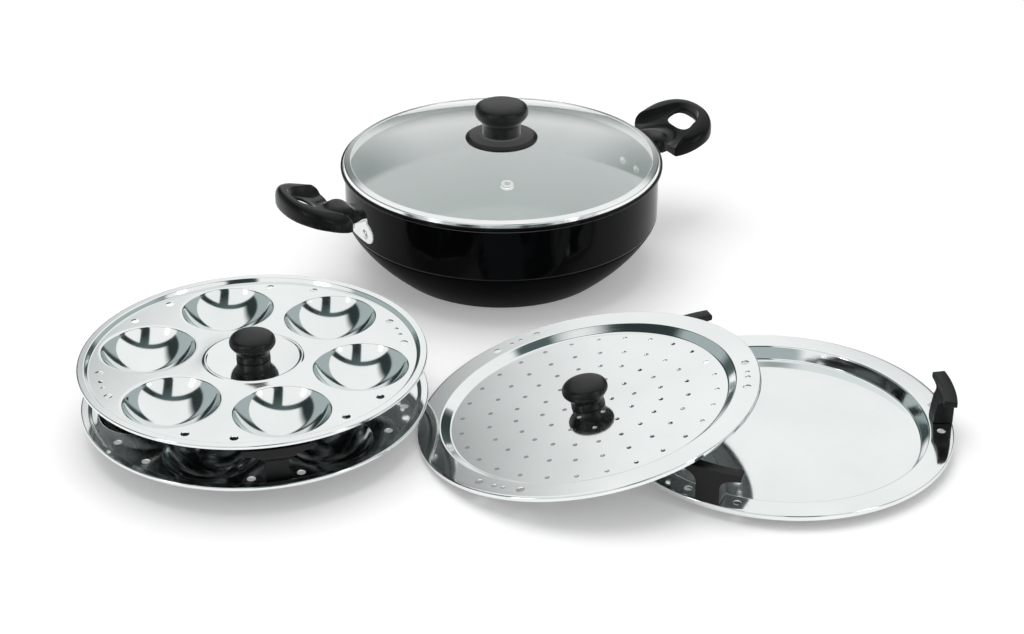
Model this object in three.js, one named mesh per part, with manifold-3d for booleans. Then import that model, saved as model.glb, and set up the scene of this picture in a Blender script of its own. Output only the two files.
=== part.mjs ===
// Multi kadai set: a lidded pan with loop handles, shown with its steaming plates
import * as THREE from 'three';
import { mergeVertices } from 'three/addons/utils/BufferGeometryUtils.js';
import Module from 'manifold-3d';

const wasm = await Module();
wasm.setup();

// Pan sizes in millimetres
const rimRadius = 130;
const panHeight = 88;
const baseRadius = 91;
const wall = 2.8;
const floorThickness = 3.4;
const rimOverhang = 3;
const ledgeDepth = 2.8;
const bowlBulge = 3.6;

// Side handle sizes
const handleTurn = 29;
const handleReach = 62;
const handleLength = 62.6;
const handleWidth = 72;
const handleThickness = 14.5;
const handleSlope = 19.8;
const handleDrop = 4.6;
const handleBack = 20;
const windowLength = 20;
const windowWidth = 37;
const pocketDepth = 7.4;
const neckWidth = 36;

// Handle bracket sizes
const bracketSheet = 1.2;
const bracketWidth = 42;
const bracketHeight = 20.7;
const bracketDrop = 18.8;
const tongueWidth = 26;
const tongueSheet = 1.6;
const rivetSpan = 22;

// Lid sizes
const domeHeight = 21.5;
const domeSphere = 461;
const glassThickness = 2.5;
const ventCircle = 77;
const ventTurn = -86.5;
const ventRadius = 3.6;
const lidFlangeRadius = 29;
const lidKnobRadius = 21.6;
const lidKnobHeight = 26;

// Plate sizes shared by the four plates
const plateRadius = 122;
const sheet = 0.9;
const knobRadius = 16.2;
const knobHeight = 18.8;

// Idli plate sizes
const idliWall = 7.4;
const cupGap = 11;
const cupMargin = 4.6;
const cupDepth = 18.2;
const idliRecess = 3;
const idliLip = 2.2;
const idliHoleInset = 15.5;
const idliSupportHeight = 30.4;

// Steamer plate sizes, with the rings of holes as shares of its floor
const steamerDepth = 5;
const steamerLip = 3;
const perforationRadius = 1.75;
const perforationRings = [[0.172, 6], [0.333, 12], [0.525, 20], [0.717, 24], [0.919, 28]];

// Flat plate sizes
const trayDepth = 9.6;
const trayLip = 3.4;
const traySupportHeight = 25.2;
const trayTurn = 0.5;

// Shared sizes of holes, screws and supports
const largeHole = 3;
const smallHole = 1.7;
const screwRadius = 1.4;
const supportWidth = 17;
const crossbarLength = 46;
const crossbarThickness = 4.7;
const crossbarDepth = 9;

// Gap between two pieces that touch
const seat = 0.3;

// Smoothness of the round pieces
const panSides = 40;
const plateSides = 36;
const cupSides = 14;
const knobSides = 16;
const screwSides = 6;

// Places of the plates on the table, in plate radii from the middle of the pan
const stackPlace = [-1.417, -2.123];
const trayPlace = [1.605, -2.251];
const steamerEdge = [-0.475, -2.262];
const lowerTurn = -76.2;
const upperTurn = 20.8;
const steamerTurn = -3.5;
const steamerTip = -0.7;

const degree = Math.PI / 180;

// Finishes of the pieces
const coating = new THREE.MeshStandardMaterial({ color: 0x1b1c1d, roughness: 0.32, metalness: 0.4 });
const bakelite = new THREE.MeshStandardMaterial({ color: 0x141414, roughness: 0.3, metalness: 0 });
const steel = new THREE.MeshStandardMaterial({ color: 0xc9cccb, roughness: 0.16, metalness: 1 });
const glass = new THREE.MeshStandardMaterial({
  color: 0xdfe6e2, roughness: 0.04, metalness: 0, transparent: true, opacity: 0.35,
});
const silicone = new THREE.MeshStandardMaterial({ color: 0xd8d8d4, roughness: 0.7, metalness: 0 });

// Closed solid made from a geometry's triangles
function solid(geometry) {
  const bare = new THREE.BufferGeometry();
  bare.setAttribute('position', geometry.getAttribute('position'));
  bare.setIndex(geometry.index);
  const merged = mergeVertices(bare, 1e-4);
  const corners = merged.index.array;
  const kept = [];
  for (let i = 0; i < corners.length; i += 3) {
    const [a, b, c] = corners.slice(i, i + 3);
    if (a !== b && b !== c && c !== a) {
      kept.push(a, b, c);
    }
  }
  const vertProperties = merged.getAttribute('position').array;
  return new wasm.Manifold(new wasm.Mesh({ numProp: 3, vertProperties, triVerts: new Uint32Array(kept) }));
}

// Round geometry about Z from points of radius and height, listed bottom outside first
function turnedGeometry(points, sides) {
  const closed = points[0][0] > 0 ? [...points, points[0]] : points;
  const profile = closed.map(([r, z]) => new THREE.Vector2(r, z));
  return new THREE.LatheGeometry(profile, sides).rotateX(Math.PI / 2);
}

// Round solid about Z
function turned(points, sides) {
  return solid(turnedGeometry(points, sides));
}

// Upright round bar between two heights, used for holes
function bar(radius, sides, x, y, low, high) {
  const geometry = new THREE.CylinderGeometry(radius, radius, high - low, sides).rotateX(Math.PI / 2);
  return solid(geometry.translate(x, y, (low + high) / 2));
}

// Flat outline drawn through points
function outline(points) {
  return new THREE.Shape(points.map(([x, y]) => new THREE.Vector2(x, y)));
}

// Points round an oval in plan, squared off a little at its corners
function ovalPoints(middle, halfLength, halfWidth, count) {
  const points = [];
  for (let i = 0; i < count; i += 1) {
    const c = Math.cos((i / count) * 2 * Math.PI);
    const s = Math.sin((i / count) * 2 * Math.PI);
    const x = middle + halfLength * Math.sign(c) * Math.abs(c) ** 0.88;
    points.push([x, halfWidth * Math.sign(s) * Math.abs(s) ** 0.88]);
  }
  return points;
}

// Half of a round arch standing on a foot, in the upright plane across a radius
function archPoints(halfWidth, foot, top) {
  const points = [[halfWidth, foot]];
  for (const angle of [20, 40, 60, 80]) {
    const rise = (top - foot) * Math.sin(angle * degree);
    points.push([halfWidth * Math.cos(angle * degree), foot + rise]);
  }
  return points;
}

// Mirror image of half an outline about its upright axis, joined into one outline
function mirrored(half) {
  const other = half.map(([x, y]) => [-x, y]).reverse();
  return outline([...half, ...other]);
}

// Outline in the upright plane across a radius, pushed outwards from one radius to another
function pushedOut(shape, from, to) {
  const geometry = new THREE.ExtrudeGeometry(shape, { depth: to - from, bevelEnabled: false });
  const axes = new THREE.Matrix4().makeBasis(
    new THREE.Vector3(0, 1, 0),
    new THREE.Vector3(0, 0, 1),
    new THREE.Vector3(1, 0, 0),
  );
  return solid(geometry.applyMatrix4(axes).translate(from, 0, 0));
}

// Named mesh of a solid in a group
function addPart(group, name, shape, look) {
  const { vertProperties, triVerts } = shape.getMesh();
  const geometry = new THREE.BufferGeometry();
  geometry.setAttribute('position', new THREE.BufferAttribute(vertProperties, 3));
  geometry.setIndex(new THREE.BufferAttribute(triVerts, 1));
  geometry.computeVertexNormals();
  const mesh = new THREE.Mesh(geometry, look.clone());
  mesh.name = name;
  group.add(mesh);
  return mesh;
}

// Point on a circle about Z
function onCircle(radius, turn) {
  return [radius * Math.cos(turn * degree), radius * Math.sin(turn * degree)];
}

// Pan wall shared by the bowl, the brackets and the handles
const bandRadius = rimRadius - rimOverhang;
const innerRadius = bandRadius - wall;
const ledgeRadius = bandRadius + 0.6;
const bandFoot = panHeight / 2;
const waist = bandFoot - 2.5;
const facet = Math.cos(Math.PI / panSides);

// Radius of the lower bowl from its base at 0 to its waist at 1
function bowlRadius(t) {
  return baseRadius + (bandRadius - 0.8 - baseRadius) * t + 4 * bowlBulge * t * (1 - t);
}

// Height of the lower bowl at the same share
function bowlLevel(t) {
  return 0.8 + (waist - 0.8) * t;
}

// Heights of the handle fittings on the wall
const tongueTop = panHeight - bracketDrop;
const bracketFoot = tongueTop - bracketHeight;
const rivetLevel = bracketFoot + 7.2;
const rivetHole = 2.2;
const rivetTurn = (rivetSpan / 2 / bandRadius) / degree;
const handleTurns = { right: handleTurn, left: handleTurn + 180 };

// Rivet hole through the wall, drawn along +X
function rivetBar(turn) {
  const geometry = new THREE.CylinderGeometry(rivetHole, rivetHole, 4 * wall, 10).rotateZ(Math.PI / 2);
  return solid(geometry.translate(bandRadius - wall / 2, 0, rivetLevel).rotateZ(turn * degree));
}

function makeBowl() {
  const steps = [0, 0.25, 0.5, 0.75, 1];
  const outside = steps.map((t) => [bowlRadius(t), bowlLevel(t)]);
  const inside = [0.8, 0.5, 0.2].map((t) => [bowlRadius(t) - wall * 1.3, bowlLevel(t)]);
  let bowl = turned([
    [0, 0],
    [baseRadius - 0.8, 0],
    ...outside,
    [bandRadius - 0.8, waist + 1],
    [bandRadius, waist + 1.9],
    [bandRadius, panHeight - ledgeDepth - 1.4],
    [rimRadius - 0.6, panHeight - ledgeDepth - 0.4],
    [rimRadius, panHeight - ledgeDepth + 0.4],
    [rimRadius, panHeight - 0.7],
    [rimRadius - 0.7, panHeight],
    [ledgeRadius, panHeight],
    [ledgeRadius, panHeight - ledgeDepth],
    [innerRadius, panHeight - ledgeDepth],
    [innerRadius, bandFoot],
    ...inside,
    [baseRadius, floorThickness + 1],
    [baseRadius - 4, floorThickness],
    [0, floorThickness],
  ], panSides);
  for (const turn of Object.values(handleTurns)) {
    bowl = bowl.subtract(rivetBar(turn - rivetTurn));
    bowl = bowl.subtract(rivetBar(turn + rivetTurn));
  }
  return bowl;
}

// Handle screw, standing upright through the tongue into the neck
const handleScrewReach = bandRadius + 13;
const handleScrewLength = 8;

// Bracket with two riveted ears on the wall and a tongue under the handle
function makeBracket() {
  const half = bracketWidth / 2;
  const ears = mirrored([
    [half * 0.72, bracketFoot],
    [half * 0.92, bracketFoot + bracketHeight * 0.09],
    [half, bracketFoot + bracketHeight * 0.28],
    [half * 0.98, bracketFoot + bracketHeight * 0.5],
    [half * 0.84, bracketFoot + bracketHeight * 0.68],
    [tongueWidth / 2, bracketFoot + bracketHeight * 0.8],
    [tongueWidth / 2, tongueTop],
  ]);
  const ring = turnedGeometry([
    [bandRadius + seat, bracketFoot - 5],
    [bandRadius + seat + bracketSheet, bracketFoot - 5],
    [bandRadius + seat + bracketSheet, tongueTop + 5],
    [bandRadius + seat, tongueTop + 5],
  ], panSides).rotateZ(-handleTurn * degree);
  const plate = solid(ring).intersect(pushedOut(ears, bandRadius - 20, bandRadius + 20));
  const start = bandRadius + seat + bracketSheet / 2;
  const end = handleScrewReach + 7;
  const leaf = outline([
    [start, -tongueWidth / 2],
    [end - 5, -tongueWidth / 2],
    [end - 1.5, -tongueWidth / 2 + 2],
    [end, -tongueWidth / 2 + 6],
    [end, tongueWidth / 2 - 6],
    [end - 1.5, tongueWidth / 2 - 2],
    [end - 5, tongueWidth / 2],
    [start, tongueWidth / 2],
  ]);
  const leafGeometry = new THREE.ExtrudeGeometry(leaf, { depth: tongueSheet, bevelEnabled: false });
  let bracket = plate.add(solid(leafGeometry.translate(0, 0, tongueTop - tongueSheet)));
  const hole = bar(screwRadius + 2 * seat, 10, handleScrewReach, 0, tongueTop - 5, tongueTop + 5);
  bracket = bracket.subtract(hole);
  bracket = bracket.subtract(rivetBar(-rivetTurn));
  return bracket.subtract(rivetBar(rivetTurn));
}

// Rivet along +X with a domed head outside and a flat head inside the pan
function makeRivet() {
  const inner = innerRadius * facet - 2 * seat;
  const outer = bandRadius + seat + bracketSheet + seat;
  const shank = rivetHole - seat;
  const geometry = turnedGeometry([
    [0, inner - 1.2],
    [2.6, inner - 1.2],
    [3.4, inner - 0.5],
    [3.4, inner],
    [shank, inner],
    [shank, outer],
    [3.9, outer],
    [3.7, outer + 0.9],
    [2.2, outer + 1.9],
    [0, outer + 2.2],
  ], 8);
  return solid(geometry.rotateY(Math.PI / 2));
}

// Tilts a handle's flat geometry, drawn with its top at height 0, into its place on the pan
function tiltHandle(geometry) {
  const hinge = bandRadius + 23;
  geometry.translate(-hinge, 0, 0).rotateY(-handleSlope * degree);
  return geometry.translate(hinge, 0, panHeight - handleDrop);
}

// Loop handle with a window for the fingers, hollow below, on a stepped and arched neck
function makeHandle() {
  const tip = rimRadius + handleReach;
  const bevel = 3.6;
  const windowMiddle = tip - (handleWidth - windowWidth) / 2 + 5 - windowLength / 2;
  const loop = outline(ovalPoints(tip - handleLength / 2, handleLength / 2, handleWidth / 2, 26));
  loop.holes.push(outline(ovalPoints(windowMiddle, windowLength / 2, windowWidth / 2, 16)));
  const loopGeometry = new THREE.ExtrudeGeometry(loop, {
    depth: handleThickness - 2 * bevel,
    bevelThickness: bevel,
    bevelSize: bevel,
    bevelOffset: -bevel,
    bevelSegments: 1,
  });
  loopGeometry.translate(0, 0, bevel - handleThickness);
  const ledge = 4;
  const pocket = outline(ovalPoints(windowMiddle, windowLength / 2 + ledge, windowWidth / 2 + ledge, 20));
  const pocketGeometry = new THREE.ExtrudeGeometry(pocket, { depth: 20, bevelEnabled: false });
  pocketGeometry.translate(0, 0, -pocketDepth - 20);
  const foot = tongueTop + seat;
  const half = neckWidth / 2;
  const low = pushedOut(mirrored(archPoints(half, foot, panHeight - 12)), bandRadius - 4, bandRadius + 20);
  const high = pushedOut(mirrored(archPoints(half, foot, panHeight - 2.5)), bandRadius + 4, bandRadius + 24);
  const step = outline([
    [bandRadius + 5, foot - 1],
    [bandRadius + 23, foot - 1],
    [bandRadius + 23, panHeight],
    [bandRadius + 14.5, panHeight],
    [bandRadius + 7, panHeight - 12],
  ]);
  const stepGeometry = new THREE.ExtrudeGeometry(step, { depth: 2 * neckWidth, bevelEnabled: false });
  const block = high.intersect(solid(stepGeometry.rotateX(Math.PI / 2).translate(0, neckWidth, 0)));
  const wallGeometry = turnedGeometry([
    [0, 0],
    [bandRadius + seat, 0],
    [bandRadius + seat, 2 * panHeight],
    [0, 2 * panHeight],
  ], panSides).rotateZ(-handleTurn * degree);
  const backGeometry = new THREE.BoxGeometry(rimRadius, 2 * handleWidth, 2 * panHeight);
  backGeometry.translate(bandRadius + handleBack - rimRadius / 2, 0, panHeight);
  const floorGeometry = new THREE.BoxGeometry(2 * rimRadius, 2 * handleWidth, panHeight);
  floorGeometry.translate(bandRadius, 0, foot - panHeight / 2);
  let handle = solid(tiltHandle(loopGeometry)).subtract(solid(tiltHandle(pocketGeometry)));
  handle = handle.subtract(solid(backGeometry)).add(low).add(block);
  handle = handle.subtract(solid(wallGeometry)).subtract(solid(floorGeometry));
  const screwTip = tongueTop + handleScrewLength + seat;
  return handle.subtract(bar(screwRadius + seat, 10, handleScrewReach, 0, foot - 1, screwTip));
}

// Round-headed screw pointing up, with the seat of its head at height 0
function makeScrew(radius, head, length) {
  return turned([
    [0, -head * 0.62],
    [head * 0.55, -head * 0.5],
    [head, -head * 0.12],
    [head, 0],
    [radius, 0],
    [radius, length],
    [0, length],
  ], screwSides);
}

// Glass dome surface height at a radius, above the seat of the lid
function domeLevel(r) {
  return domeHeight - domeSphere + Math.sqrt(domeSphere ** 2 - r ** 2);
}

const glassRadius = ledgeRadius - 2;
const knobScrewRadius = 2.5;

// Vent eyelet place and tilt on the dome
const ventTilt = Math.asin(ventCircle / domeSphere);

// Turns a geometry from the upright axis onto the vent's place in the dome
function placeVent(geometry) {
  geometry.translate(0, 0, domeSphere).rotateY(ventTilt).translate(0, 0, domeHeight - domeSphere);
  return geometry.rotateZ(ventTurn * degree);
}

function makeGlass() {
  const hole = knobScrewRadius + seat;
  const radii = [1, 0.82, 0.58, 0.3].map((share) => glassRadius * share);
  const top = [...radii, hole].map((r) => [r, domeLevel(r)]);
  const bottom = top.map(([r, z]) => [r, z - glassThickness]).reverse();
  const pipe = new THREE.CylinderGeometry(ventRadius, ventRadius, 20, 12).rotateX(Math.PI / 2);
  return turned([...bottom, ...top], panSides).subtract(solid(placeVent(pipe)));
}

function makeVent() {
  const flange = ventRadius + 1.6;
  const neck = ventRadius - seat;
  const bore = ventRadius - 1.4;
  const geometry = turnedGeometry([
    [bore, -glassThickness - seat - 0.7],
    [flange, -glassThickness - seat - 0.7],
    [flange, -glassThickness - seat],
    [neck, -glassThickness - seat],
    [neck, seat],
    [flange, seat],
    [flange - 0.5, seat + 0.9],
    [bore, seat + 0.9],
  ], 10);
  return solid(placeVent(geometry));
}

// Steel band folded round the edge of the glass, with a skirt that centres it in the pan
function makeLidRim() {
  const outside = ledgeRadius - 0.4;
  const lip = glassRadius - 3.8;
  const shelf = lip + 0.5;
  const skirt = innerRadius - 0.4;
  const back = glassRadius + seat;
  const above = seat + 0.05;
  const below = glassThickness + above;
  return turned([
    [skirt, 0],
    [outside, 0],
    [outside, domeLevel(back) + 0.1],
    [outside - 1, domeLevel(back) + 1],
    [lip, domeLevel(lip) + 1.1],
    [lip, domeLevel(lip) + above],
    [back, domeLevel(back) + above],
    [back, domeLevel(back) - below],
    [shelf, domeLevel(shelf) - below],
    [shelf, domeLevel(shelf) - below - 0.9],
    [skirt - 1.2, domeLevel(back) - below - 0.8],
    [skirt - 1.2, -4.5],
    [skirt, -4.5],
  ], panSides);
}

// Round plate under the lid knob, hollowed to follow the dome
const flangeTop = domeHeight + 3.9;

function makeKnobFlange() {
  const hole = knobScrewRadius + seat;
  return turned([
    [hole, domeHeight + seat],
    [lidFlangeRadius, domeLevel(lidFlangeRadius) + seat],
    [lidFlangeRadius + 0.2, domeLevel(lidFlangeRadius) + 1.8],
    [lidFlangeRadius - 1.5, flangeTop - 1.4],
    [lidFlangeRadius * 0.6, flangeTop],
    [hole, flangeTop],
  ], 24);
}

// Mushroom knob standing on height 0 with a blind screw hole, its outline given as shares of its size
function makeKnob(radius, height, hole, depth, shares, sides) {
  const side = shares.map(([r, z]) => [radius * r, height * z]);
  return turned([[0, depth], [hole, depth], [hole, 0], ...side, [0, height]], sides);
}

const lidKnobShares = [
  [0.81, 0], [0.75, 0.12], [0.74, 0.27], [0.81, 0.45], [0.95, 0.6],
  [1, 0.72], [0.98, 0.86], [0.9, 0.94], [0.65, 0.985],
];
const plateKnobShares = [
  [0.64, 0], [0.62, 0.08], [0.53, 0.28], [0.55, 0.47], [0.86, 0.6],
  [1, 0.72], [0.98, 0.84], [0.8, 0.95], [0.45, 0.99],
];

// Flat ring of the washer under the glass
function makeWasher() {
  return turned([
    [knobScrewRadius + seat, -1.2],
    [9, -1.2],
    [9, 0],
    [knobScrewRadius + seat, 0],
  ], 16);
}

// Pressed sheet disc with a turned-down lip, its rim at height 0
function pressedDisc(floorRadius, shoulderRadius, depth, lip) {
  return turned([
    [0, -depth - sheet],
    [floorRadius + sheet, -depth - sheet],
    [shoulderRadius + sheet, -sheet],
    [plateRadius - sheet, -sheet],
    [plateRadius - sheet, -lip],
    [plateRadius, -lip],
    [plateRadius, 0],
    [shoulderRadius, 0],
    [floorRadius, -depth],
    [0, -depth],
  ], plateSides);
}

// Plate with one round hole through it
function drilled(plate, radius, sides, circle, turn) {
  const [x, y] = onCircle(circle, turn);
  return plate.subtract(bar(radius, sides, x, y, -30, 10));
}

// Spherical cap hanging below a plane, with its top carried up by a rise
function cap(radius, depth, rise, x, y, z) {
  const sphere = (radius ** 2 + depth ** 2) / (2 * depth);
  const half = Math.asin(radius / sphere);
  const points = [];
  for (const share of [0, 0.36, 0.7, 1]) {
    points.push([sphere * Math.sin(half * share), sphere - depth - sphere * Math.cos(half * share)]);
  }
  points.push([radius, rise], [0, rise]);
  return solid(turnedGeometry(points, cupSides).translate(x, y, z));
}

// Six cups fill the floor of the idli plate with even gaps between them
const idliFloor = plateRadius - idliWall;
const cupRadius = (idliFloor - cupMargin - cupGap) / 3;
const cupCircle = 2 * cupRadius + cupGap;
const idliHoleCircle = plateRadius - idliHoleInset;
const idliScrewTurn = 2.4;
const gapTurns = [0, 60, 120, 180, 240, 300];

// Idli plate with a ring of pressed cups, and holes in the gaps between them
function makeIdliPlate(centreHole) {
  let plate = pressedDisc(idliFloor, idliFloor + 2, idliRecess, idliLip);
  for (const gap of gapTurns) {
    const [x, y] = onCircle(cupCircle, gap + 30);
    plate = plate.add(cap(cupRadius + sheet, cupDepth + sheet / 2, sheet / 2, x, y, -idliRecess - sheet / 2));
  }
  for (const gap of gapTurns) {
    const [x, y] = onCircle(cupCircle, gap + 30);
    plate = plate.subtract(cap(cupRadius, cupDepth, 1, x, y, -idliRecess));
    plate = drilled(plate, largeHole, 6, idliHoleCircle, gap - 9);
    plate = drilled(plate, largeHole, 6, idliHoleCircle, gap + 9);
  }
  for (const gap of [0, 180]) {
    plate = drilled(plate, smallHole, 6, idliHoleCircle, gap - idliScrewTurn);
    plate = drilled(plate, smallHole, 6, idliHoleCircle, gap + idliScrewTurn);
  }
  if (centreHole > 0) {
    plate = drilled(plate, centreHole, 10, 0, 0);
  }
  return plate;
}

// Circle of the holes on the flange of the steamer plate and the flat plate
const flangeInner = plateRadius - 17;
const flangeCircle = plateRadius - 9;
const flangeScrewTurn = 2.3;
const steamerSlope = 6;
const steamerFloor = flangeInner - steamerSlope;

function makeSteamerPlate(centreHole) {
  let plate = pressedDisc(steamerFloor, flangeInner, steamerDepth, steamerLip);
  for (const group of [0, 120, 240]) {
    plate = drilled(plate, largeHole, 6, flangeCircle, group - 8.5);
    plate = drilled(plate, largeHole, 6, flangeCircle, group + 8.5);
    plate = drilled(plate, 2, 6, flangeCircle, group - 1.8);
    plate = drilled(plate, smallHole, 6, flangeCircle, group + 1.8);
  }
  for (const [share, count] of perforationRings) {
    for (let i = 0; i < count; i += 1) {
      plate = drilled(plate, perforationRadius, 5, share * steamerFloor, 9.6 + (360 * i) / count);
    }
  }
  return drilled(plate, centreHole, 10, 0, 0);
}

const supportTurns = [0, 120, 240];

function makeFlatPlate() {
  let plate = pressedDisc(flangeInner - 5, flangeInner, trayDepth, trayLip);
  for (const group of supportTurns) {
    plate = drilled(plate, largeHole, 6, flangeCircle, group - 9);
    plate = drilled(plate, largeHole, 6, flangeCircle, group + 9);
    plate = drilled(plate, smallHole, 6, flangeCircle, group - flangeScrewTurn);
    plate = drilled(plate, smallHole, 6, flangeCircle, group + flangeScrewTurn);
  }
  return plate;
}

const crossbarOuter = plateRadius - 0.5;
const crossbarInner = crossbarOuter - crossbarDepth;
const supportScrewLength = 8;

// T-shaped support: a column on the plate and a crossbar that follows the rim, its foot at height 0
function makeSupport(height, screwCircle, screwTurn, footOuter) {
  const arm = height - crossbarThickness;
  const half = crossbarLength / 2;
  const column = supportWidth / 2;
  const face = mirrored([
    [column, 0],
    [column, arm - 7.8],
    [column + 1.5, arm - 3.8],
    [column + 5, arm - 1.2],
    [column + 9.5, arm],
    [half - 0.4, arm + 0.8],
    [half, height - 0.8],
    [half - 1, height],
  ]);
  const footInner = screwCircle - 5;
  const ring = turned([
    [footInner, 0],
    [footOuter, 0],
    [footOuter, height * 0.5],
    [crossbarOuter, arm - 1.5],
    [crossbarOuter, height],
    [crossbarInner, height],
    [crossbarInner, arm - 1.5],
    [footInner + 1.5, height * 0.55],
  ], 96);
  let support = pushedOut(face, footInner - 10, crossbarOuter + 10).intersect(ring);
  for (const turn of [-screwTurn, screwTurn]) {
    const [x, y] = onCircle(screwCircle, turn);
    support = support.subtract(bar(smallHole, 8, x, y, -5, supportScrewLength - sheet));
  }
  return support;
}

// Adds a support with its two screws to a plate's group
function addSupport(group, name, shape, turn, foot, screwCircle, screwTurn) {
  const place = new THREE.Group();
  place.rotation.z = turn * degree;
  place.position.z = foot + seat;
  addPart(place, name, shape, bakelite);
  const screw = makeScrew(screwRadius, 2.9, supportScrewLength);
  const ends = { a: -screwTurn, b: screwTurn };
  for (const [end, offset] of Object.entries(ends)) {
    const mesh = addPart(place, `${name}_screw_${end}`, screw, steel);
    const [x, y] = onCircle(screwCircle, offset);
    mesh.position.set(x, y, -sheet - 2 * seat);
  }
  group.add(place);
}

// Adds a knob with its screw to the middle of a plate's floor
function addPlateKnob(group, name, floorLevel) {
  const hole = 2.3;
  const depth = 0.585 * knobHeight;
  const knob = makeKnob(knobRadius, knobHeight, hole, depth, plateKnobShares, knobSides);
  addPart(group, name, knob, bakelite).position.z = floorLevel + seat;
  const screw = makeScrew(hole - seat, 4.2, depth);
  addPart(group, `${name}_screw`, screw, steel).position.z = floorLevel - sheet - seat;
}

// The pan with its handles
const pan = new THREE.Group();
addPart(pan, 'kadai_bowl', makeBowl(), coating);
const bracket = makeBracket();
const rivet = makeRivet();
const handle = makeHandle();
const handleScrew = makeScrew(screwRadius, 4, handleScrewLength);
for (const [side, turn] of Object.entries(handleTurns)) {
  const mount = new THREE.Group();
  mount.rotation.z = turn * degree;
  addPart(mount, `handle_bracket_${side}`, bracket, steel);
  addPart(mount, `side_handle_${side}`, handle, bakelite);
  const screw = addPart(mount, `handle_screw_${side}`, handleScrew, steel);
  screw.position.set(handleScrewReach, 0, tongueTop - tongueSheet - seat);
  const ends = { a: -rivetTurn, b: rivetTurn };
  for (const [end, offset] of Object.entries(ends)) {
    const mesh = addPart(mount, `bracket_rivet_${side}_${end}`, rivet, steel);
    mesh.position.z = rivetLevel;
    mesh.rotation.z = offset * degree;
  }
  pan.add(mount);
}

// The glass lid on the rim of the pan
const lid = new THREE.Group();
lid.position.z = panHeight - ledgeDepth + seat;
addPart(lid, 'lid_glass', makeGlass(), glass);
addPart(lid, 'lid_rim', makeLidRim(), steel);
addPart(lid, 'steam_vent', makeVent(), steel);
addPart(lid, 'knob_flange', makeKnobFlange(), bakelite);
const lidKnobHole = 0.54 * lidKnobHeight;
const lidHole = knobScrewRadius + seat;
const lidKnob = makeKnob(lidKnobRadius, lidKnobHeight, lidHole, lidKnobHole, lidKnobShares, 24);
addPart(lid, 'lid_knob', lidKnob, bakelite).position.z = flangeTop + seat;
const washerLevel = domeHeight - glassThickness - seat;
addPart(lid, 'knob_washer', makeWasher(), silicone).position.z = washerLevel;
const lidScrewSeat = washerLevel - 1.2 - seat;
const lidScrewLength = flangeTop + lidKnobHole - 1 - lidScrewSeat;
const lidScrew = makeScrew(knobScrewRadius, 6, lidScrewLength);
addPart(lid, 'lid_knob_screw', lidScrew, steel).position.z = lidScrewSeat;

// The stack of two idli plates
const stack = new THREE.Group();
stack.position.set(stackPlace[0] * plateRadius, stackPlace[1] * plateRadius, 0);
const lowerIdli = new THREE.Group();
lowerIdli.position.z = idliRecess + cupDepth + sheet;
lowerIdli.rotation.z = lowerTurn * degree;
addPart(lowerIdli, 'idli_plate_lower', makeIdliPlate(0), steel);
const idliSupport = makeSupport(idliSupportHeight, idliHoleCircle, idliScrewTurn, idliFloor - 0.4);
addSupport(lowerIdli, 'idli_support_front', idliSupport, 0, -idliRecess, idliHoleCircle, idliScrewTurn);
addSupport(lowerIdli, 'idli_support_rear', idliSupport, 180, -idliRecess, idliHoleCircle, idliScrewTurn);
stack.add(lowerIdli);
const upperIdli = new THREE.Group();
upperIdli.position.z = lowerIdli.position.z + sheet + idliSupportHeight + 2 * seat;
upperIdli.rotation.z = upperTurn * degree;
addPart(upperIdli, 'idli_plate_upper', makeIdliPlate(2.6), steel);
addPlateKnob(upperIdli, 'idli_knob', -idliRecess);
stack.add(upperIdli);

// The flat plate on its tray floor, with its three supports
const tray = new THREE.Group();
tray.position.set(trayPlace[0] * plateRadius, trayPlace[1] * plateRadius, trayDepth + sheet);
tray.rotation.z = trayTurn * degree;
addPart(tray, 'flat_plate', makeFlatPlate(), steel);
const traySupport = makeSupport(traySupportHeight, flangeCircle, flangeScrewTurn, crossbarOuter);
const supportNames = ['plate_support_right', 'plate_support_rear', 'plate_support_front'];
supportTurns.forEach((turn, i) => {
  addSupport(tray, supportNames[i], traySupport, turn, 0, flangeCircle, flangeScrewTurn);
});

// The steamer plate leans from the table onto the crossbars of two supports
const crossbarTop = tray.position.z + seat + traySupportHeight;

// Turn of the leaning plate
function leaningTurn(lean) {
  return new THREE.Euler(steamerTip * degree, -lean, 0, 'YXZ');
}

// Middle of the leaning plate's rim, with its low edge on the table
function leaningPlace(lean) {
  const tilt = Math.acos(Math.cos(lean) * Math.cos(steamerTip * degree));
  return new THREE.Vector3(
    steamerEdge[0] * plateRadius + plateRadius * Math.cos(lean) - steamerLip * Math.sin(lean),
    steamerEdge[1] * plateRadius,
    plateRadius * Math.sin(tilt) + steamerLip * Math.cos(tilt),
  );
}

// Gap between the leaning plate's underside and one corner of a crossbar
function cornerGap(lean, radius, side, turn) {
  const corner = new THREE.Vector3(Math.sqrt(radius ** 2 - side ** 2), side, 0);
  corner.applyAxisAngle(new THREE.Vector3(0, 0, 1), (turn + trayTurn) * degree);
  corner.add(new THREE.Vector3(tray.position.x, tray.position.y, crossbarTop));
  const back = new THREE.Quaternion().setFromEuler(leaningTurn(lean)).invert();
  corner.sub(leaningPlace(lean)).applyQuaternion(back);
  const inwards = flangeInner + sheet - Math.hypot(corner.x, corner.y);
  const drop = steamerDepth * THREE.MathUtils.clamp(inwards / steamerSlope, 0, 1);
  return -sheet - drop - corner.z;
}

// Smallest gap over the crossbars of the two supports beside the plate
function leanGap(lean) {
  const half = crossbarLength / 2;
  const gaps = [];
  for (const turn of [supportTurns[1], supportTurns[2]]) {
    for (const radius of [crossbarInner, crossbarOuter]) {
      gaps.push(cornerGap(lean, radius, half, turn), cornerGap(lean, radius, -half, turn));
    }
  }
  return Math.min(...gaps);
}

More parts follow.
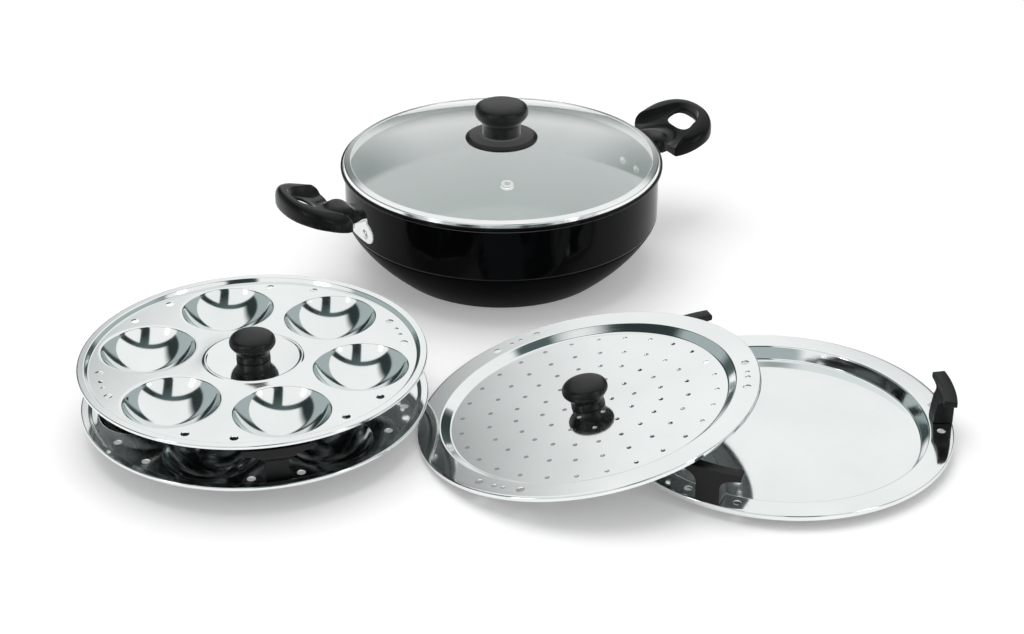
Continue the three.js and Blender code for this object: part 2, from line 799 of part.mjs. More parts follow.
let lean = 2 * degree;
while (leanGap(lean) < seat && lean < 40 * degree) {
  lean += 0.02 * degree;
}
const steamer = new THREE.Group();
steamer.position.copy(leaningPlace(lean));
steamer.rotation.copy(leaningTurn(lean));
const steamerDisc = new THREE.Group();
steamerDisc.rotation.z = steamerTurn * degree;
addPart(steamerDisc, 'steamer_plate', makeSteamerPlate(2.6), steel);
addPlateKnob(steamerDisc, 'steamer_knob', -steamerDepth);
steamer.add(steamerDisc);

const group = new THREE.Group();
group.add(pan, lid, stack, tray, steamer);

export default group;
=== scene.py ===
"""Dressed scene of a multi kadai set: the pan with its glass lid, and the four steaming plates beside it."""
import logging
import math
from dataclasses import dataclass, field
from enum import Enum
from functools import reduce
from typing import Optional, Sequence

import bmesh
import bpy
import numpy as np
from mathutils import Euler, Matrix, Vector
from mathutils.geometry import delaunay_2d_cdt


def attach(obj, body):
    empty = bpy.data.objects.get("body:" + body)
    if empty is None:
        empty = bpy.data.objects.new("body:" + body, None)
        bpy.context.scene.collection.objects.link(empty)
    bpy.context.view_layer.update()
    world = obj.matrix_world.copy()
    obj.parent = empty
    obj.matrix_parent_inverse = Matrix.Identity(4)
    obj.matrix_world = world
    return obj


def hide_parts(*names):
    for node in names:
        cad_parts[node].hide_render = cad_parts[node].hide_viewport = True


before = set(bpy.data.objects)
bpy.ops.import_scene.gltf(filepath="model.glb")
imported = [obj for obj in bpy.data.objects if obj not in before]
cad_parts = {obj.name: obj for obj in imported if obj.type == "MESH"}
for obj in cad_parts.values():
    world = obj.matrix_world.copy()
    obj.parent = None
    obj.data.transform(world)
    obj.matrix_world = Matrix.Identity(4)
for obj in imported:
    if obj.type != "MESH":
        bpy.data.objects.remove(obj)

LOG = logging.getLogger("kadai_set")

# Millimetre in metres, gap between seated pieces in millimetres, and angle of a crisp edge in degrees
MM = 0.001
SEAT = 0.3
CRISP = 38.0

# Facets of large and of small holes
HOLE_SIDES = 24
PIN_SIDES = 16

# Range of a noise that carries most of its values, and the ends of a step up or down
NOISE_SPAN = (0.3, 0.7)
RISE = (0.0, 1.0)
FALL = (1.0, 0.0)

Point = tuple[float, float]
Corner = tuple[float, float, float]
Point3 = tuple[float, float, float]
Colour = tuple[float, float, float]
Line = tuple[Point, ...]
Mesh = bpy.types.Mesh
BMesh = bmesh.types.BMesh
Vert = bmesh.types.BMVert
Socket = bpy.types.NodeSocket
Feed = Socket | float | Sequence[float]


class Body(Enum):
    """Moving bodies of the set."""

    KADAI = "kadai"
    LID = "lid"
    IDLI_LOWER = "idli_lower"
    IDLI_UPPER = "idli_upper"
    FLAT_TRAY = "flat_tray"
    STEAMER = "steamer"


class Slot(Enum):
    """Names of the material slots."""

    COATING = "dark_coating"
    HANDLE = "handle_bakelite"
    KNOB = "knob_bakelite"
    SUPPORT = "support_bakelite"
    PLATE = "plate_steel"
    BAND = "band_steel"
    BRACKET = "bracket_steel"
    FASTENER = "fastener_steel"
    GLASS = "lid_glass"
    WASHER = "washer_silicone"


class Grain(Enum):
    """How the fine marks of a finish run."""

    EVEN = "even"
    SPUN = "spun"


class Bench:
    """Bench on which the nodes of one tree are wired."""

    def __init__(self, tree: bpy.types.NodeTree) -> None:
        """Clears the tree."""
        self.tree = tree
        tree.nodes.clear()

    def feed(self, target: Socket, value: Feed) -> None:
        """Joins a socket to another one, or sets its own value.

        Args:
            target: socket that is fed.
            value: socket that it is joined to, or the value.
        """
        if isinstance(value, Socket):
            self.tree.links.new(value, target)
        else:
            target.default_value = value

    def add(self, kind: str, *values: Feed, **settings: object) -> bpy.types.Node:
        """Adds a node.

        Args:
            kind: type name of the node.
            values: what its first sockets take, in their order.
            settings: properties set on it.

        Returns:
            The new node.
        """
        node = self.tree.nodes.new(kind)
        for name, value in settings.items():
            setattr(node, name, value)
        for socket, value in zip(node.inputs, values):
            self.feed(socket, value)
        return node

    def fill(self, node: bpy.types.Node, **values: Feed) -> bpy.types.Node:
        """Feeds sockets of a node by their names.

        Args:
            node: node that is fed.
            values: what the sockets take, underscores standing for spaces.

        Returns:
            The same node.
        """
        for name, value in values.items():
            self.feed(node.inputs[name.replace("_", " ")], value)
        return node

    def maths(self, operation: str, *values: Feed) -> Socket:
        """Adds an operation on numbers."""
        return self.add("ShaderNodeMath", *values, operation=operation).outputs["Value"]

    def fold(self, operation: str, *values: Socket) -> Socket:
        """Runs an operation over values, from the first to the last."""
        return reduce(lambda done, value: self.maths(operation, done, value), values)

    def sum(self, *terms: tuple[Socket, float]) -> Socket:
        """Adds values, each times its own factor."""
        return self.fold("ADD", *[self.maths("MULTIPLY", *term) for term in terms])

    def product(self, *values: Socket) -> Socket:
        """Multiplies values with one another."""
        return self.fold("MULTIPLY", *values)

    def seen(self) -> Socket:
        """Tells which rays come from the eye, from a mirror or through glass.

        Returns:
            The value 1 for those rays, and 0 for all others.
        """
        path = self.add("ShaderNodeLightPath")
        rays = [path.outputs[f"Is {ray} Ray"] for ray in ("Camera", "Glossy", "Transmission")]
        return self.fold("MAXIMUM", *rays)

    def blend(self, share: Socket, below: Socket, above: Colour) -> Socket:
        """Lays a colour over another by its share."""
        node = self.add("ShaderNodeMix", data_type="RGBA")
        return self.fill(node, Factor=share, A=below, B=(*above, 1.0)).outputs["Result"]

    def step(self, value: Socket, span: Point, ends: Point, run: str = "SMOOTHSTEP") -> Socket:
        """Adds a step from one value to another.

        Args:
            value: value that runs over the step.
            span: where the step starts and ends.
            ends: results before and after it.
            run: how the result runs in between.

        Returns:
            The stepped value.
        """
        return self.add("ShaderNodeMapRange", value, *span, *ends, interpolation_type=run).outputs["Result"]

    def ramp(self, value: Socket, tones: Sequence[tuple[float, Colour]]) -> Socket:
        """Adds a run of colours.

        Args:
            value: value that runs over the colours.
            tones: place and colour of each stop.

        Returns:
            The colour.
        """
        node = self.add("ShaderNodeValToRGB", value)
        stops = node.color_ramp.elements
        stops.remove(stops[1])
        stops[0].position = tones[0][0]
        for i, (place, colour) in enumerate(tones):
            stop = stops.new(place) if i else stops[0]
            stop.color = (*colour, 1.0)
        return node.outputs["Color"]


class Shader(Bench):
    """Bench of one material with a principled surface."""

    spun_scale = (60.0, 0.02, 0.02)

    def __init__(self, name: str) -> None:
        """Starts the material.

        Args:
            name: name of the material.
        """
        self.material = bpy.data.materials.new(name)
        self.material.use_nodes = True
        super().__init__(self.material.node_tree)
        self.surface = self.add("ShaderNodeBsdfPrincipled")
        self.add("ShaderNodeOutputMaterial", self.surface.outputs["BSDF"])

    def fix(self, **values: Feed) -> None:
        """Feeds the surface's own sockets."""
        self.fill(self.surface, **values)

    def places(self, grain: Grain) -> Socket:
        """Gives the coordinates that the marks follow.

        Args:
            grain: whether the marks are even or run round the piece's axis.

        Returns:
            A vector socket.
        """
        here = self.add("ShaderNodeTexCoord").outputs["Object"]
        if grain is Grain.EVEN:
            return here
        flat = self.add("ShaderNodeVectorMath", here, (1.0, 1.0, 0.0), operation="MULTIPLY").outputs["Vector"]
        reach = self.add("ShaderNodeVectorMath", flat, operation="LENGTH").outputs["Value"]
        across = self.add("ShaderNodeVectorMath", flat, operation="NORMALIZE").outputs["Vector"]
        sides = self.add("ShaderNodeSeparateXYZ", across).outputs
        parts = zip((reach, sides["X"], sides["Y"]), self.spun_scale)
        scaled = [self.maths("MULTIPLY", *part) for part in parts]
        return self.add("ShaderNodeCombineXYZ", *scaled).outputs["Vector"]

    def noise(self, place: Socket, scale: float, detail: float) -> Socket:
        """Adds a noise field.

        Args:
            place: coordinates that it follows.
            scale: cells per unit.
            detail: number of finer layers.

        Returns:
            The value socket.
        """
        node = self.add("ShaderNodeTexNoise")
        return self.fill(node, Vector=place, Scale=scale, Detail=detail).outputs["Fac"]

    def rough(self, value: Socket, ends: Point) -> None:
        """Lets the roughness run with a noise between two values."""
        self.fix(Roughness=self.step(value, NOISE_SPAN, ends, "LINEAR"))

    def bump(self, value: Socket, height: float) -> None:
        """Raises the surface by a noise, up to a height in metres."""
        node = self.fill(self.add("ShaderNodeBump"), Strength=1.0, Distance=height, Height=value)
        self.fix(Normal=node.outputs["Normal"])


@dataclass(frozen=True)
class Finish:
    """Finish of a surface with its colour range, gloss range and fine marks."""

    name: str
    dark: Colour
    light: Colour
    smooth: float
    rough: float
    cloud: float
    marks: float
    relief: float
    metallic: float = 0.0
    index: float = 1.5
    grain: Grain = Grain.EVEN
    cloud_detail: float = 4.0
    mark_detail: float = 3.0

    def material(self) -> bpy.types.Material:
        """Makes the material, or gives the one that exists.

        Returns:
            The material of this finish.
        """
        if self.name in bpy.data.materials:
            return bpy.data.materials[self.name]
        shader = Shader(self.name)
        cloud = shader.noise(shader.places(Grain.EVEN), self.cloud, self.cloud_detail)
        marks = shader.noise(shader.places(self.grain), self.marks, self.mark_detail)
        tones = list(zip(NOISE_SPAN, (self.dark, self.light)))
        shader.fix(Base_Color=shader.ramp(cloud, tones), Metallic=self.metallic, IOR=self.index)
        shader.rough(marks, (self.smooth, self.rough))
        shader.bump(marks, self.relief)
        return shader.material


@dataclass(frozen=True)
class GlassFinish:
    """Clear toughened glass with a faint green body and a bright film."""

    name: str = "clear_lid_glass"
    colour: Colour = (0.86, 0.92, 0.89)
    index: float = 1.5
    film: float = 2.1
    haze: float = 0.012
    wipe: Point = (14.0, 3.0)

    def material(self) -> bpy.types.Material:
        """Makes the glass.

        Returns:
            The material of the lid's glass.
        """
        shader = Shader(self.name)
        shader.fix(Base_Color=(*self.colour, 1.0), Transmission_Weight=1.0, IOR=self.index)
        shader.fix(Coat_Weight=1.0, Coat_Roughness=0.0, Coat_IOR=self.film)
        shader.rough(shader.noise(shader.places(Grain.EVEN), *self.wipe), (0.0, self.haze))
        return shader.material


GLOSS_BAND = Finish("gloss_dark_coat", (0.0016, 0.0017, 0.0021), (0.0024, 0.0025, 0.003), 0.06, 0.12,
                    cloud=30.0, marks=1400.0, relief=0.000003, index=1.17)
SATIN_BOWL = Finish("satin_dark_coat", (0.0016, 0.0017, 0.0021), (0.0026, 0.0028, 0.0033), 0.24, 0.36,
                    cloud=45.0, marks=2200.0, relief=0.00001, index=1.055)
INNER_COAT = Finish("nonstick_inner_coat", (0.46, 0.56, 0.56), (0.52, 0.63, 0.63), 0.3, 0.45,
                    cloud=900.0, marks=1600.0, relief=0.00001)
HANDLE_BLACK = Finish("handle_moulding", (0.0018, 0.002, 0.0024), (0.0034, 0.0036, 0.0041), 0.24, 0.36,
                      cloud=70.0, marks=1500.0, relief=0.000008, index=1.27)
KNOB_BLACK = Finish("knob_moulding", (0.0026, 0.0029, 0.0033), (0.0042, 0.0045, 0.005), 0.28, 0.4,
                    cloud=90.0, marks=1300.0, relief=0.000006, index=1.37)
SUPPORT_BLACK = Finish("support_moulding", (0.003, 0.0032, 0.0036), (0.006, 0.0062, 0.0068), 0.34, 0.48,
                       cloud=80.0, marks=1500.0, relief=0.000012, index=1.33)
PLATE_STEEL = Finish("polished_plate_steel", (0.79, 0.825, 0.82), (0.85, 0.88, 0.875), 0.05, 0.11,
                     cloud=16.0, marks=40.0, relief=0.0000012, metallic=1.0, grain=Grain.SPUN)
# Undersides of the plates: the plate steel painted much darker, as painted shade standing in for the shadow
# under the plates and the dark things they mirror
SHADED_UNDERSIDE_STEEL = Finish("painted_shade_underside_steel", (0.12, 0.13, 0.13), (0.16, 0.17, 0.17), 0.24, 0.34,
                     cloud=20.0, marks=40.0, relief=0.0000015, metallic=1.0, grain=Grain.SPUN)
BAND_STEEL = Finish("polished_band_steel", (0.82, 0.845, 0.84), (0.88, 0.9, 0.895), 0.1, 0.17,
                    cloud=30.0, marks=40.0, relief=0.000001, metallic=1.0, grain=Grain.SPUN)
BRACKET_STEEL = Finish("pressed_bracket_steel", (0.72, 0.74, 0.735), (0.82, 0.84, 0.835), 0.2, 0.32,
                       cloud=120.0, marks=1500.0, relief=0.000006, metallic=1.0)
FASTENER_STEEL = Finish("bright_fastener_steel", (0.7, 0.72, 0.715), (0.8, 0.82, 0.815), 0.16, 0.26,
                        cloud=200.0, marks=1800.0, relief=0.000003, metallic=1.0)
WASHER_WHITE = Finish("washer_silicone", (0.6, 0.6, 0.57), (0.7, 0.7, 0.67), 0.55, 0.7,
                      cloud=200.0, marks=900.0, relief=0.00001)
LID_GLASS = GlassFinish()


def filleted(corners: Sequence[Corner], steps: int = 5, closed: bool = False) -> list[Point]:
    """Draws a line through corners and rounds each one.

    Args:
        corners: x, y and rounding radius of each corner.
        steps: pieces of each rounding.
        closed: whether the last corner joins the first.

    Returns:
        The points of the line.
    """
    line: list[Point] = []
    last = len(corners) - 1
    guard, most = 0.25, 0.4
    for i, (x, y, radius) in enumerate(corners):
        corner = Vector((x, y))
        if radius <= 0 or (not closed and i in (0, last)):
            line.append((x, y))
            continue
        before = Vector(corners[i - 1][:2]) - corner
        after = Vector(corners[(i + 1) % len(corners)][:2]) - corner
        half = before.angle(after) / 2
        reach = min(radius / math.tan(half), most * before.length, most * after.length)
        middle = corner + (before.normalized() + after.normalized()).normalized() * (reach / math.cos(half))
        start = corner + before.normalized() * reach - middle
        end = corner + after.normalized() * reach - middle
        sweep = start.angle(end)
        if reach + 2 * guard < 0.5 * before.length:
            line.append(tuple(corner + before.normalized() * (reach + guard)))
        for k in range(steps + 1):
            share = k / steps
            turn = (start * math.sin((1 - share) * sweep) + end * math.sin(share * sweep)) / math.sin(sweep)
            line.append(tuple(middle + turn))
        if reach + 2 * guard < 0.5 * after.length:
            line.append(tuple(corner + after.normalized() * (reach + guard)))
    return line


def curved(points: Sequence[Point], steps: int) -> list[Point]:
    """Draws a smooth line through points.

    Args:
        points: points that the line passes.
        steps: pieces between two points.

    Returns:
        The points of the line.
    """
    ends = [points[0], *points, points[-1]]
    line: list[Point] = []
    for i in range(len(points) - 1):
        a, b, c, d = (Vector(p) for p in ends[i:i + 4])
        for k in range(steps):
            t = k / steps
            bend = (2 * a - 5 * b + 4 * c - d) * t * t + (3 * b - a - 3 * c + d) * t ** 3
            line.append(tuple((2 * b + (c - a) * t + bend) / 2))
    line.append(tuple(points[-1]))
    return line


def along(table: Sequence[Point], x: float) -> float:
    """Reads a height from a table of places, smoothly between its rows.

    Args:
        table: places with their heights.
        x: place to read.

    Returns:
        The height.
    """
    if x <= table[0][0]:
        return table[0][1]
    for (x0, y0), (x1, y1) in zip(table, table[1:]):
        if x <= x1:
            t = (x - x0) / (x1 - x0)
            return y0 + (y1 - y0) * t * t * (3 - 2 * t)
    return table[-1][1]


def linear(table: Sequence[Point], x: float) -> float:
    """Reads a height from a table of places, straight between its rows."""
    return float(np.interp(x, [row[0] for row in table], [row[1] for row in table]))


def ring(radius: float, sides: int, middle: Point = (0.0, 0.0)) -> list[Point]:
    """Gives the points of a circle in plan."""
    turns = (2 * math.pi * i / sides for i in range(sides))
    return [(middle[0] + radius * math.cos(a), middle[1] + radius * math.sin(a)) for a in turns]


def on_circle(radius: float, degrees: float) -> Point:
    """Gives a point on a circle about the axis."""
    return radius * math.cos(math.radians(degrees)), radius * math.sin(math.radians(degrees))


def bridge(bm: BMesh, low: list[Vert], high: list[Vert]) -> None:
    """Joins two rings of points, either of which may be a single point.

    Args:
        bm: mesh that holds them.
        low: first ring.
        high: second ring.
    """
    count = max(len(low), len(high))
    if count == 1:
        return
    for i in range(count):
        j = (i + 1) % count
        if len(low) == 1:
            bm.faces.new((low[0], high[j], high[i]))
        elif len(high) == 1:
            bm.faces.new((low[i], low[j], high[0]))
        else:
            bm.faces.new((low[i], low[j], high[j], high[i]))


def turned_rings(
    bm: BMesh, line: Sequence[Point], sides: int, middle: Point = (0.0, 0.0), closed: bool = False
) -> None:
    """Turns a line of radius and height about an upright axis.

    Args:
        bm: mesh that the skin goes into.
        line: points of radius and height.
        sides: facets of the round.
        middle: place of the axis in plan.
        closed: whether the last ring joins the first.
    """
    rings = []
    for radius, level in line:
        places = ring(radius, sides, middle) if radius > 1e-6 else [middle]
        rings.append([bm.verts.new((x, y, level)) for x, y in places])
    for low, high in zip(rings, rings[1:]):
        bridge(bm, low, high)
    if closed:
        bridge(bm, rings[-1], rings[0])


def quarter(pieces: int) -> list[Point]:
    """Gives the cosine and the sine along a quarter turn."""
    turns = (math.pi / 2 * k / pieces for k in range(pieces + 1))
    return [(math.cos(turn), math.sin(turn)) for turn in turns]


def arc_row(bm: BMesh, radius: float, level: float, half: float, pieces: int) -> list[Vert]:
    """Lays a level row of points on an arc about the axis.

    Args:
        bm: mesh that the points go into.
        radius: radius of the arc.
        level: height of the row.
        half: turn from the middle of the arc to its ends in radians.
        pieces: pieces in each half of the arc.

    Returns:
        The points from one end to the other.
    """
    turns = (half * k / pieces for k in range(-pieces, pieces + 1))
    return [bm.verts.new((radius * math.cos(turn), radius * math.sin(turn), level)) for turn in turns]


def shell(bm: BMesh, skins: Sequence[Sequence[Sequence[Vert]]]) -> None:
    """Closes a solid from its two skins.

    Args:
        bm: mesh that holds them.
        skins: rows of points of the two skins, alike in number.
    """
    borders = []
    for rows in skins:
        for low, high in zip(rows, rows[1:]):
            for k in range(len(low) - 1):
                bm.faces.new((low[k], low[k + 1], high[k + 1], high[k]))
        side = [row[-1] for row in rows[1:-1]]
        other = [row[0] for row in reversed(rows[1:-1])]
        borders.append([*rows[0], *side, *reversed(rows[-1]), *other])
    bridge(bm, *borders)


def settled(bm: BMesh, name: str) -> Mesh:
    """Closes the seams of a skin drawn in millimetres and makes its mesh.

    Args:
        bm: drawn skin, freed here.
        name: name of the mesh.

    Returns:
        The mesh in metres.
    """
    bmesh.ops.remove_doubles(bm, verts=bm.verts, dist=1e-3)
    bmesh.ops.recalc_face_normals(bm, faces=bm.faces)
    bmesh.ops.scale(bm, vec=(MM, MM, MM), verts=bm.verts)
    mesh = bpy.data.meshes.new(name)
    bm.to_mesh(mesh)
    bm.free()
    crisp(mesh, CRISP)
    return mesh


def crisp(mesh: Mesh, sharp: float) -> None:
    """Shades a mesh smooth but for its edges sharper than an angle in degrees."""
    mesh.polygons.foreach_set("use_smooth", [True] * len(mesh.polygons))
    mesh.set_sharp_from_angle(angle=math.radians(sharp))


def turned(name: str, line: Sequence[Point], sides: int, closed: bool = False) -> Mesh:
    """Makes a round solid.

    Args:
        name: name of the mesh.
        line: points of radius and height, ending on the axis unless closed.
        sides: facets of the round.
        closed: whether the line is a loop.

    Returns:
        The mesh in metres.
    """
    bm = bmesh.new()
    turned_rings(bm, line, sides, closed=closed)
    return settled(bm, name)


def rounded_ring(name: str, corners: Sequence[Corner], steps: int, sides: int) -> Mesh:
    """Turns a loop of rounded corners into a solid ring."""
    return turned(name, filleted(corners, steps, closed=True), sides, closed=True)


def extruded(name: str, outline: Sequence[Point], low: float, high: float) -> Mesh:
    """Raises a flat outline between two heights.

    Args:
        name: name of the mesh.
        outline: points round the outline.
        low: height of the underside.
        high: height of the top.

    Returns:
        The mesh in metres.
    """
    bm = bmesh.new()
    loops = [[bm.verts.new((x, y, z)) for x, y in outline] for z in (low, high)]
    bridge(bm, *loops)
    for loop in loops:
        bm.faces.new(loop)
    return settled(bm, name)


def bevel(width: float, segments: int, angle: float) -> dict[str, object]:
    """Gives the settings of a bevel on edges sharper than an angle in degrees."""
    limit = {"limit_method": "ANGLE", "angle_limit": math.radians(angle)}
    return {"width": width * MM, "segments": segments, **limit}


def placed(name: str, data: bpy.types.ID) -> bpy.types.Object:
    """Puts an object in the scene.

    Args:
        name: name of the object.
        data: mesh, lamp or camera that it holds.

    Returns:
        The object.
    """
    thing = bpy.data.objects.new(name, data)
    bpy.context.scene.collection.objects.link(thing)
    return thing


def worked(mesh: Mesh, sharp: float, **modifiers: dict[str, object]) -> Mesh:
    """Runs modifiers on a mesh and keeps their result.

    Args:
        mesh: mesh to work on, removed here.
        sharp: angle in degrees above which an edge stays crisp.
        modifiers: settings of each modifier by its type in small letters.

    Returns:
        The finished mesh.
    """
    holder = placed("work", mesh)
    for kind, settings in modifiers.items():
        modifier = holder.modifiers.new(kind, kind.upper())
        for name, value in settings.items():
            setattr(modifier, name, value)
    graph = bpy.context.evaluated_depsgraph_get()
    result = bpy.data.meshes.new_from_object(holder.evaluated_get(graph))
    result.name = mesh.name
    bpy.data.objects.remove(holder)
    bpy.data.meshes.remove(mesh)
    crisp(result, sharp)
    return result


def joined(mesh: Mesh, other: Mesh, operation: str, sharp: float) -> Mesh:
    """Joins a second solid to a mesh or cuts it out.

    Args:
        mesh: solid that stays.
        other: solid that is joined or cut out, removed here.
        operation: UNION or DIFFERENCE.
        sharp: angle in degrees above which an edge stays crisp.

    Returns:
        The finished mesh.
    """
    tool = placed("tool", other)
    result = worked(mesh, sharp, boolean={"object": tool, "operation": operation, "solver": "EXACT"})
    bpy.data.objects.remove(tool)
    bpy.data.meshes.remove(other)
    return result


def publish(
    mesh: Mesh,
    node: str,
    body: Body,
    finishes: Sequence[Finish | GlassFinish],
    place: Optional[Matrix] = None,
) -> None:
    """Puts a finished piece in the scene in the place of its plain solid.

    Args:
        mesh: mesh of the piece.
        node: solid that it stands for.
        body: body that it rides on.
        finishes: finishes by material index.
        place: where the piece's own frame lies.
    """
    piece = placed(f"{node}_dressed", mesh)
    if place is not None:
        mesh.transform(place.to_3x3().to_4x4())
        piece.location = place.to_translation()
    places = [min(face.material_index, len(finishes) - 1) for face in mesh.polygons]
    mesh.materials.clear()
    for finish in finishes:
        mesh.materials.append(finish.material())
    mesh.polygons.foreach_set("material_index", places)
    piece.visible_glossy = body not in (Body.KADAI, Body.LID)
    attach(piece, body.value)
    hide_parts(node)
    LOG.info("%s rides on %s with %d faces", piece.name, body.value, len(mesh.polygons))


def moved(x: float, y: float, z: float) -> Matrix:
    """Gives a shift in millimetres as a matrix in metres."""
    return Matrix.Translation((x * MM, y * MM, z * MM))


def turn_about(degrees: float, axis: str = "Z") -> Matrix:
    """Gives a turn about an axis."""
    return Matrix.Rotation(math.radians(degrees), 4, axis)


def plate_frame(node: str, spin: float) -> Matrix:
    """Finds where a plate lies from its solid.

    Args:
        node: solid of the plate.
        spin: turn of the plate about its own axis in degrees.

    Returns:
        Frame with its origin in the middle of the plate's rim and Z along its axis.
    """
    spots = np.array([v.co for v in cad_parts[node].data.vertices], float)
    middle = spots.mean(0)
    axis = np.linalg.svd(spots - middle, full_matrices=False)[2][2]
    axis = axis if axis[2] > 0 else -axis
    rim = float(((spots - middle) @ axis).max())
    lean = math.atan2(-axis[0], axis[2])
    tip = -math.asin(axis[1])
    turn = turn_about(math.degrees(-lean), "Y") @ turn_about(math.degrees(tip), "X") @ turn_about(spin)
    return Matrix.Translation(Vector(middle + axis * rim)) @ turn


@dataclass
class RoundScrew:
    """Round-headed screw with a cross slot, pointing up from its seat."""

    radius: float
    head: float
    length: float
    dome_share: float = 0.62
    edge_share: float = 0.12
    slot_shares: Point3 = (1.1, 0.22, 0.5)
    chamfer: Point = (0.5, 0.6)
    sides: int = 24

    def mesh(self) -> Mesh:
        """Makes the screw.

        Returns:
            The mesh with the seat of the head at height 0.
        """
        tall, edge = self.head * self.dome_share, self.head * self.edge_share
        dome = [(self.head * s, -edge - (tall - edge) * c) for c, s in quarter(6)]
        inset, drop = self.chamfer
        tip = [(self.radius, 0.0), (self.radius, self.length - drop), (self.radius - inset, self.length)]
        screw = turned("screw", [*dome, (self.head, 0.0), *tip, (0.0, self.length)], self.sides)
        for turn in (0.0, 90.0):
            bm = bmesh.new()
            bmesh.ops.create_cube(bm, size=1.0)
            bmesh.ops.scale(bm, vec=[self.head * share for share in self.slot_shares], verts=bm.verts)
            bmesh.ops.translate(bm, vec=(0.0, 0.0, -tall), verts=bm.verts)
            bmesh.ops.rotate(bm, matrix=turn_about(turn).to_3x3(), verts=bm.verts)
            screw = joined(screw, settled(bm, "slot"), "DIFFERENCE", 30.0)
        return screw


